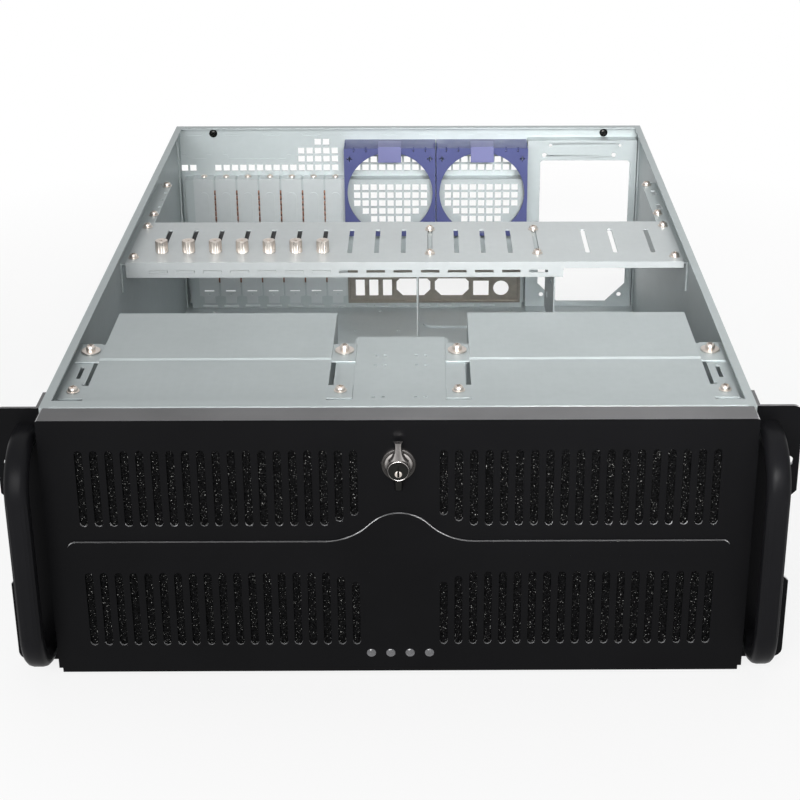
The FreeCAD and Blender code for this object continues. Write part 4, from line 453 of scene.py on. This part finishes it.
def screw_master(head, height, shank, length, flange=0.0, flange_height=0.0):
    """A screw that stands on the Z axis with its seat at zero, its head carved with a cross."""
    profile = [(shank, -length), (shank, 0)]
    if flange:
        profile += [(flange * 0.86, 0), (flange * 0.86, flange_height * 0.35),
                    (flange, flange_height * 0.35), (flange, flange_height * 0.75),
                    (flange * 0.94, flange_height * 0.95)]
    top = flange_height + height
    profile += [(head, flange_height), (head, flange_height + height * 0.35),
                (head * 0.93, flange_height + height * 0.68),
                (head * 0.74, flange_height + height * 0.9),
                (head * 0.42, top), (head * 0.1, top)]
    return carved(revolve(profile), *cross_tools(head, top, height * 0.6))


def place_screws(name, slot, node, axis, master, seat):
    """Put a screw at each solid of a CAD node, with its seat at a place along its axis."""
    shape = Shape()
    chance = random.Random(name)
    along = max(range(3), key=lambda index: abs(axis[index]))
    for low, high in solids(node):
        middle = (low + high) / 2
        middle[along] = seat(low, high)
        spin = Matrix.Rotation(chance.uniform(0, math.pi / 2), 3, "Z")
        shape.add_copy(master, middle, turn_to(axis) @ spin)
    add_piece(name, shape, slot, "root", node)


SCREW_HEAD = 3.1 * MM
SCREW_RISE = 2.6 * MM
SLOT_SCREW_RISE = 1.5 * MM
FLANGE = 4.0 * MM
FLANGE_RISE = 0.8 * MM
SHANK = 1.7 * MM
SHANK_LENGTH = 4.6 * MM
CLAMP_RISE = 3.4 * MM
CLAMP_WASHER = 6.2 * MM
CLAMP_WASHER_RISE = 1.6 * MM
REAR_HEAD = 3.7 * MM
REAR_LENGTH = 1.0 * MM
GRIP_HEAD = 4.5 * MM
GRIP_SHANK = 2.4 * MM
GRIP_LENGTH = 10.8 * MM


def make_screws():
    """All the screws but the thumbscrews, each carved with its cross."""
    flanged = screw_master(SCREW_HEAD, SCREW_RISE, SHANK, SHANK_LENGTH, FLANGE, FLANGE_RISE)

    def under_flange(low, high):
        return high.z - SCREW_RISE - FLANGE_RISE

    place_screws("small_cage_screws", "nickel_screw", "cage_front_screws", UP, flanged,
                 under_flange)
    place_screws("card_bar_screws", "nickel_screw", "bar_screws", UP, flanged, under_flange)
    clamp = screw_master(SCREW_HEAD, CLAMP_RISE, SHANK, SHANK_LENGTH, CLAMP_WASHER,
                         CLAMP_WASHER_RISE)
    place_screws("clamp_screws", "nickel_screw", "cage_clamp_screws", UP, clamp,
                 lambda low, high: high.z - CLAMP_RISE - CLAMP_WASHER_RISE)
    plain = screw_master(SCREW_HEAD, SLOT_SCREW_RISE, SHANK, SHANK_LENGTH)
    place_screws("slot_cover_screws", "nickel_screw", "slot_screws", UP, plain,
                 lambda low, high: high.z - SLOT_SCREW_RISE)
    dark = screw_master(REAR_HEAD, SCREW_RISE, SHANK, REAR_LENGTH)
    place_screws("dark_rear_screws", "dark_screw", "rear_screws", FORWARD, dark,
                 lambda low, high: low.y + SCREW_RISE)
    grip = screw_master(GRIP_HEAD, SCREW_RISE, GRIP_SHANK, GRIP_LENGTH)
    place_screws("grip_screws", "dark_screw", "handle_screws", BACKWARD, grip,
                 lambda low, high: high.y - SCREW_RISE)


THUMB_TEETH = 18
THUMB_KNURL = 0.35 * MM
THUMB_DISH = 0.35 * MM
THUMB_CROSS = 1.2 * MM


def make_thumbscrews():
    """Knurled thumbscrews with a dished top and a cross in it."""
    boxes = solids("card_thumbscrews")
    low, high = boxes[0]
    radius = (high.x - low.x) / 2
    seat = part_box("card_bar")[1].z
    height = high.z - seat
    count = THUMB_TEETH * 4
    dish = radius * 0.55
    levels = [(SHANK, low.z - seat, 0), (SHANK, 0, 0), (radius * 0.88, 0, 0),
              (radius * 0.88, 0.35 * MM, 0), (radius * 0.98, 0.4 * MM, 0),
              (radius, 0.6 * MM, THUMB_KNURL), (radius, height - 0.7 * MM, THUMB_KNURL),
              (radius * 0.95, height - 0.1 * MM, 0), (radius * 0.90, height, 0),
              (radius * 0.62, height, 0), (dish, height - THUMB_DISH, 0),
              (radius * 0.1, height - THUMB_DISH, 0)]
    body = Shape()
    body.join_rings([circle_ring(reach, level, count, teeth) for reach, level, teeth in levels])
    master = carved(body, *cross_tools(dish, height - THUMB_DISH, THUMB_CROSS))
    shape = Shape()
    chance = random.Random("thumbs")
    for low, high in boxes:
        middle = (low + high) / 2
        middle.z = seat
        shape.add_copy(master, middle, Matrix.Rotation(chance.uniform(0, math.pi), 3, "Z"))
    add_piece("knurled_thumbscrews", shape, "nickel_screw", "root", "card_thumbscrews")


RETAINER_WIDTH = 6.4 * MM
RETAINER_DROP = 2.0 * MM
RETAINER_REACH = 54 * MM
RETAINER_START = 2.3 * MM
RETAINER_GAP = 0.05 * MM
TAB_WIDTH = 13.2 * MM
TAB_HEIGHT = 1.9 * MM
TAB_DROP = 7.4 * MM
TAB_LENGTH = 4.0 * MM
TAB_PROUD = 0.15 * MM
BAR_SHEET = 1.2 * MM


def make_card_retainers():
    """What each thumbscrew clamps: a black pad under the bar and a bright tab in its lip."""
    bar_low, bar_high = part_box("card_bar")
    pads = Shape()
    tabs = Shape()
    under = bar_high.z - BAR_SHEET - RETAINER_GAP
    half = RETAINER_WIDTH / 2
    pad = block((-half, RETAINER_START, -RETAINER_DROP), (half, RETAINER_REACH, 0))
    wide, tall = TAB_WIDTH / 2, TAB_HEIGHT / 2
    tab = block((-wide, 0, -tall), (wide, TAB_LENGTH, tall))
    straight = Matrix.Identity(3)
    for low, high in solids("card_thumbscrews"):
        middle = (low + high) / 2
        pads.add_copy(pad, Vector((middle.x, middle.y, under)), straight)
        tabs.add_copy(tab, Vector((middle.x, bar_low.y - TAB_PROUD, bar_high.z - TAB_DROP)),
                      straight)
    add_piece("retainer_pads", pads, "black_handle", "root")
    add_piece("retainer_tabs", tabs, "bright_galvanised_steel", "root")


# ---------------------------------------------------------------- lock

FLANGE_PROUD = 3.2 * MM
LOCK_BARREL = 8.0 * MM
LOCK_BORE = 5.6 * MM


def make_lock_housing():
    """The lock's stepped flange and barrel."""
    low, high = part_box("lock_housing")
    middle = (low + high) / 2
    radius = (high.x - low.x) / 2
    skin = low.y + FLANGE_PROUD
    flange = skin - low.y
    tail = high.y - skin
    profile = [(LOCK_BORE, -tail), (LOCK_BARREL, -tail), (LOCK_BARREL, 0), (radius, 0),
               (radius, flange * 0.35), (radius * 0.95, flange * 0.6),
               (radius * 0.86, flange * 0.62), (radius * 0.84, flange * 0.5),
               (radius * 0.80, flange * 0.5), (radius * 0.70, flange * 0.92),
               (radius * 0.62, flange), (LOCK_BORE, flange)]
    shape = Shape()
    shape.join_rings([circle_ring(reach, level, 72) for reach, level in profile], hollow=True)
    placed = Shape()
    placed.add_copy(shape, Vector((middle.x, skin, middle.z)), turn_to(FORWARD))
    add_piece("lock_flange", placed, "dark_chrome", "door", "lock_housing")


FINGER_SECTIONS = 26
SECTION_POINTS = 20
FINGER_NECK = 2.0 * MM
FINGER_FLARE = 0.6 * MM
FLARE_START = 0.82
TAIL_END = 2.3 * MM
TAIL_SPREAD = 0.5 * MM
HUB = 6.5 * MM
HUB_CORE = 5.4 * MM
LOCK_GAP = 0.3 * MM
PLUG_EDGE = 0.3 * MM
KEYWAY_HALF = 0.65 * MM
KEYWAY_FOOT = 3.9 * MM
KEYWAY_HEAD = 3.4 * MM
KEYWAY_DEPTH = 3.5 * MM
DISH_DROP = 2.0 * MM


def finger_width(share, hub):
    """Half width of the lever's finger from the hub, 0, to its tip, 1."""
    flare = FINGER_FLARE * max(0.0, (share - FLARE_START) / (1 - FLARE_START)) ** 2
    return FINGER_NECK + (hub - FINGER_NECK) * (1 - share) ** 3 + flare


def lever_arm(start, end, rise, width):
    """A tapered arm along Z with a rounded front, from one height to another."""
    rings = []
    for step in range(FINGER_SECTIONS + 1):
        share = step / FINGER_SECTIONS
        z = start + (end - start) * share
        half = width(share)
        tall = max(rise * (1 - 0.35 * share), half)
        ring = []
        for index in range(SECTION_POINTS):
            angle = math.pi * index / (SECTION_POINTS - 1)
            front = -tall + half * 0.9 * (1 - math.sin(angle))
            y = front if 0 < index < SECTION_POINTS - 1 else 0.0
            ring.append(Vector((half * math.cos(angle), y, z)))
        rings.append(ring if end > start else ring[::-1])
    shape = Shape()
    shape.join_rings(rings[::-1])
    return shape


def make_lock_lever():
    """The turning lever: a hub round a plug with its keyhole, a finger and a tail, the plug and
    tail dark as painted shade and dark reflection.
    """
    low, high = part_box("lock_lever")
    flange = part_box("lock_housing")
    middle_z = (flange[0].z + flange[1].z) / 2
    back = flange[0].y - LOCK_GAP
    rise = back - low.y
    tip = high.z - middle_z - LOCK_GAP
    tail = middle_z - low.z - LOCK_GAP
    face = rise * 0.96
    plug = HUB * 0.90
    floor = rise * 0.3
    hub_profile = [(HUB_CORE, -(high.y - back)), (HUB_CORE, 0), (HUB, 0), (HUB, rise * 0.92),
                   (HUB * 0.98, rise * 0.98), (HUB * 0.95, rise), (HUB * 0.93, rise),
                   (plug, rise * 0.98), (plug, floor), (HUB * 0.1, floor)]
    place = Vector((0, back, middle_z))
    upright = Matrix(((1, 0, 0), (0, 0, -1), (0, 1, 0)))
    straight = Matrix.Identity(3)

    handle = Shape()
    handle.add_copy(revolve(hub_profile, 64), place, upright)
    finger = lever_arm(HUB * 0.64, tip, rise * 0.9,
                       lambda share: finger_width(share, HUB * 0.95))
    handle.add_copy(finger, place, straight)
    add_piece("lock_handle", handle, "dark_chrome", "lock", "lock_lever")

    keyway = block((-KEYWAY_HALF, -KEYWAY_FOOT, face - KEYWAY_DEPTH),
                   (KEYWAY_HALF, KEYWAY_HEAD, face + 1 * MM))
    plug_profile = [(plug * 0.98, floor), (plug * 0.98, face - PLUG_EDGE), (plug * 0.95, face),
                    (plug * 0.1, face)]
    # Painted shade and dark reflection: the plug's face and the tail take the dark screw
    # finish.
    dark = Shape()
    dark.add_copy(carved(revolve(plug_profile, 48), keyway), place, upright)
    # The tail is the lever's own metal; its dark finish is painted shade.
    heel = lever_arm(-HUB * 0.55, -tail, rise * 0.6,
                     lambda share: TAIL_END + TAIL_SPREAD * (1 - share))
    dark.add_copy(heel, place, straight)
    add_piece("lock_plug_and_tail", dark, "dark_screw", "lock")

    dish_profile = [(2.1 * MM, face), (2.1 * MM, face + 0.1 * MM), (1.4 * MM, face + 0.4 * MM),
                    (0.4 * MM, face + 0.5 * MM)]
    lowered = Shape()
    lowered.add_copy(revolve(dish_profile, 32), Vector((0, -DISH_DROP, 0)), straight)
    bright = Shape()
    bright.add_copy(carved(lowered, keyway), place, upright)
    add_piece("keyhole_dish", bright, "nickel_screw", "lock")


# ---------------------------------------------------------------- small visible pieces

LENS_DOME = 0.9 * MM
LENS_STEPS = 6


def make_lenses():
    """Domed indicator lenses."""
    shape = Shape()
    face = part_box("indicator_lenses")[0].y
    for low, high in solids("indicator_lenses"):
        radius = (high.x - low.x) / 2
        length = high.y - face - LENS_DOME
        profile = [(radius, -length), (radius, 0)]
        for step in range(1, LENS_STEPS + 1):
            angle = math.pi / 2 * step / (LENS_STEPS + 0.5)
            profile.append((radius * math.cos(angle), LENS_DOME * math.sin(angle)))
        middle = (low + high) / 2
        middle.y = face + LENS_DOME
        shape.add_copy(revolve(profile, 32), middle, turn_to(FORWARD))
    add_piece("domed_lenses", shape, "clear_lens", "door", "indicator_lenses")


FOAM_STEP = 1.3 * MM
FOAM_JITTER = 0.4
FOAM_DEPTH = 1.4 * MM
FOAM_RIM = 0.3 * MM
FOAM_BACK = 0.3


def make_foam(side):
    """Foam with a rough, open front face."""
    node = f"filter_foam_{side}"
    low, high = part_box(node)
    across = round((high.x - low.x) / FOAM_STEP)
    upward = round((high.z - low.z) / FOAM_STEP)
    chance = random.Random(node)
    shape = Shape()
    for layer in range(2):
        for row in range(upward + 1):
            for column in range(across + 1):
                x = low.x + (high.x - low.x) * column / across
                z = low.z + (high.z - low.z) * row / upward
                inner = 0 < row < upward and 0 < column < across
                depth = chance.random() ** 2 * FOAM_DEPTH if inner else FOAM_RIM
                if inner:
                    x += chance.uniform(-FOAM_JITTER, FOAM_JITTER) * FOAM_STEP
                    z += chance.uniform(-FOAM_JITTER, FOAM_JITTER) * FOAM_STEP
                y = low.y + depth if layer == 0 else high.y - depth * FOAM_BACK
                shape.points.append(Vector((x, y, z)))
    width = across + 1
    layer_size = width * (upward + 1)
    for layer in range(2):
        base = layer * layer_size
        for row in range(upward):
            for column in range(across):
                corner = base + row * width + column
                face = (corner, corner + 1, corner + 1 + width, corner + width)
                shape.faces.append(face if layer == 0 else face[::-1])
    border = list(range(width))
    border += [row * width + across for row in range(1, upward + 1)]
    border += [upward * width + column for column in range(across - 1, -1, -1)]
    border += [row * width for row in range(upward - 1, 0, -1)]
    for index, corner in enumerate(border):
        after = border[(index + 1) % len(border)]
        shape.faces.append((after, corner, corner + layer_size, after + layer_size))
    add_piece(f"foam_{side}", shape, "filter_foam", "door", node)


SPRING_FINGER = 5.0 * MM
SPRING_SHEET = 0.35 * MM
SPRING_STEPS = 6
SPRING_SLIT = 0.04


def make_strips():
    """Springy shielding strips: a row of curved fingers on each."""
    shape = Shape()
    for low, high in solids("shielding_strips"):
        count = int((high.z - low.z) / SPRING_FINGER)
        pitch = (high.z - low.z) / count
        for index in range(count):
            start = low.z + pitch * index
            rings = []
            for step in range(SPRING_STEPS + 1):
                share = step / SPRING_STEPS
                bulge = math.sin(math.pi * share) ** 0.7
                front = high.y - SPRING_SHEET - (high.y - low.y - SPRING_SHEET) * bulge
                z = start + pitch * (SPRING_SLIT + (1 - 2 * SPRING_SLIT) * share)
                rings.append([Vector((low.x, front, z)), Vector((high.x, front, z)),
                              Vector((high.x, high.y, z)), Vector((low.x, high.y, z))])
            shape.join_rings(rings)
    add_piece("spring_fingers", shape, "copper_strip", "root", "shielding_strips")


# ---------------------------------------------------------------- CAD nodes that stay

EDGE_ROUND = 0.32 * MM
EDGE_ROUNDS = {"front_door": 0.85 * MM}
EDGE_STEPS = 2
EDGE_ANGLE = math.radians(50)


def dress_nodes():
    """Give each CAD node its material, and a small round along its edges."""
    for entry in frame["record"]["subparts"]:
        node = frame["nodes"][entry["node"]]
        node.data.materials.clear()
        node.data.materials.append(materials[entry["material_slot"]])
        weld = node.modifiers.new("weld", "WELD")
        weld.merge_threshold = WELD
        bevel = node.modifiers.new("edges", "BEVEL")
        bevel.width = EDGE_ROUNDS.get(entry["node"], EDGE_ROUND)
        bevel.segments = EDGE_STEPS
        bevel.limit_method = "ANGLE"
        bevel.angle_limit = EDGE_ANGLE
        bevel.harden_normals = True
        bevel.use_clamp_overlap = True


# ---------------------------------------------------------------- light, floor and camera

SENSOR = 36.0
LENS = 75.9
CAMERA_PLACE = Vector((0.018, -1.205, 0.609))
CAMERA_PITCH = math.radians(22.6)
CAMERA_YAW = math.radians(-0.42)
CAMERA_SHIFT = (-0.05, -0.10)
CLIP_START, CLIP_END = 0.01, 50


def make_camera():
    """The photograph's view: from the front and above, through a long lens."""
    data = bpy.data.cameras.new("camera")
    data.sensor_width = SENSOR
    data.lens = LENS
    data.shift_x, data.shift_y = CAMERA_SHIFT
    data.clip_start, data.clip_end = CLIP_START, CLIP_END
    camera = bpy.data.objects.new("camera", data)
    camera.location = CAMERA_PLACE
    camera.rotation_euler = (math.pi / 2 - CAMERA_PITCH, 0, CAMERA_YAW)
    bpy.context.scene.collection.objects.link(camera)
    bpy.context.scene.camera = camera


def backdrop_switch(tree, plain, white):
    """White to the eye, in reflections and through glass, plain to everything else."""
    path = tree.nodes.new("ShaderNodeLightPath")
    seen = path.outputs["Is Camera Ray"]
    for ray in ("Is Glossy Ray", "Is Transmission Ray"):
        either = tree.nodes.new("ShaderNodeMath")
        either.operation = "MAXIMUM"
        tree.links.new(seen, either.inputs[0])
        tree.links.new(path.outputs[ray], either.inputs[1])
        seen = either.outputs[0]
    mix = tree.nodes.new("ShaderNodeMixShader")
    tree.links.new(seen, mix.inputs[0])
    tree.links.new(plain, mix.inputs[1])
    tree.links.new(white, mix.inputs[2])
    return mix.outputs[0]


def make_world(strength):
    """An even pale surround."""
    world = bpy.data.worlds.new("surround")
    bpy.context.scene.world = world
    world.use_nodes = True
    tree = world.node_tree
    tree.nodes.clear()
    lights = tree.nodes.new("ShaderNodeBackground")
    lights.inputs["Strength"].default_value = strength
    shown = tree.nodes.new("ShaderNodeBackground")
    shown.inputs["Strength"].default_value = 1.0
    output = tree.nodes.new("ShaderNodeOutputWorld")
    tree.links.new(backdrop_switch(tree, lights.outputs[0], shown.outputs[0]),
                   output.inputs["Surface"])


FLOOR_REACH = 6.0
FADE_START, FADE_END = 0.35, 0.8


def make_floor():
    """A wide pale floor under the case, which fades into the white backdrop."""
    reach = FLOOR_REACH
    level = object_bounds()[0][2]
    mesh = bpy.data.meshes.new("floor")
    mesh.from_pydata([(-reach, -reach, level), (reach, -reach, level), (reach, reach, level),
                      (-reach, reach, level)], [], [(0, 1, 2, 3)])
    floor = bpy.data.objects.new("floor", mesh)
    bpy.context.scene.collection.objects.link(floor)
    paint = Paint("floor", (0.96, 0.96, 0.96), 0.9)
    paint.vary_shade(paint.noise(0.4), 0.01)
    length = paint.add("ShaderNodeVectorMath", operation="LENGTH")
    paint.link(paint.place, length.inputs[0])
    whiteness = paint.spread(length.outputs["Value"], 0.8, 1.0, FADE_START, FADE_END)
    white = paint.add("ShaderNodeEmission")
    fade = paint.add("ShaderNodeMixShader")
    paint.link(whiteness, fade.inputs[0])
    paint.link(paint.shader.outputs[0], fade.inputs[1])
    paint.link(white.outputs[0], fade.inputs[2])
    output = paint.tree.nodes["Material Output"]
    shown = backdrop_switch(paint.tree, paint.shader.outputs[0], fade.outputs[0])
    paint.link(shown, output.inputs["Surface"])
    mesh.materials.append(paint.material)


WORLD_STRENGTH = 0.30
LAMPS = (
    # name, place, target, size, power, spread of the beam in degrees
    ("overhead", (0.0, 0.35, 2.2), (0, 0, 0.1), 2.0, 6, 180),
    ("front", (-0.5, -2.2, 1.0), (0, 0, 0.1), 1.2, 46, 180),
    ("rear_fill", (0.15, -1.0, 0.7), (0.12, 0.3, 0.17), 0.35, 1.5, 40),
)


def add_lamp(name, place, target, size, power, spread):
    """A soft square lamp that faces a point; its beam spreads by some degrees."""
    data = bpy.data.lights.new(name, "AREA")
    data.shape = "SQUARE"
    data.size = size
    data.energy = power
    data.spread = math.radians(spread)
    lamp = bpy.data.objects.new(name, data)
    lamp.location = place
    lamp.rotation_euler = (Vector(target) - Vector(place)).to_track_quat("-Z", "Y").to_euler()
    bpy.context.scene.collection.objects.link(lamp)


def make_light():
    """Soft studio light from above and from the front, with a little more on the rear panel."""
    make_world(WORLD_STRENGTH)
    for lamp in LAMPS:
        add_lamp(*lamp)


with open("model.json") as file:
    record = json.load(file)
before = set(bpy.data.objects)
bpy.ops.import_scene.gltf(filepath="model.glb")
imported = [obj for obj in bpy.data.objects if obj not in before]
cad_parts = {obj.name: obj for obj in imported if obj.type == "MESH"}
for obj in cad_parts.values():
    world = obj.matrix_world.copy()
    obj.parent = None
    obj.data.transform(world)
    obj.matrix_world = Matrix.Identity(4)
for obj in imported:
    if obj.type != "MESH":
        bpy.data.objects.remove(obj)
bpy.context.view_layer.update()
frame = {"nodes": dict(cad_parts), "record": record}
materials = make_materials()
make_camera()
dress_nodes()
make_screws()
make_thumbscrews()
make_card_retainers()
make_lock_housing()
make_lock_lever()
make_lenses()
make_foam("left")
make_foam("right")
make_strips()
make_floor()
make_light()
bpy.context.scene.view_settings.view_transform = "Standard"
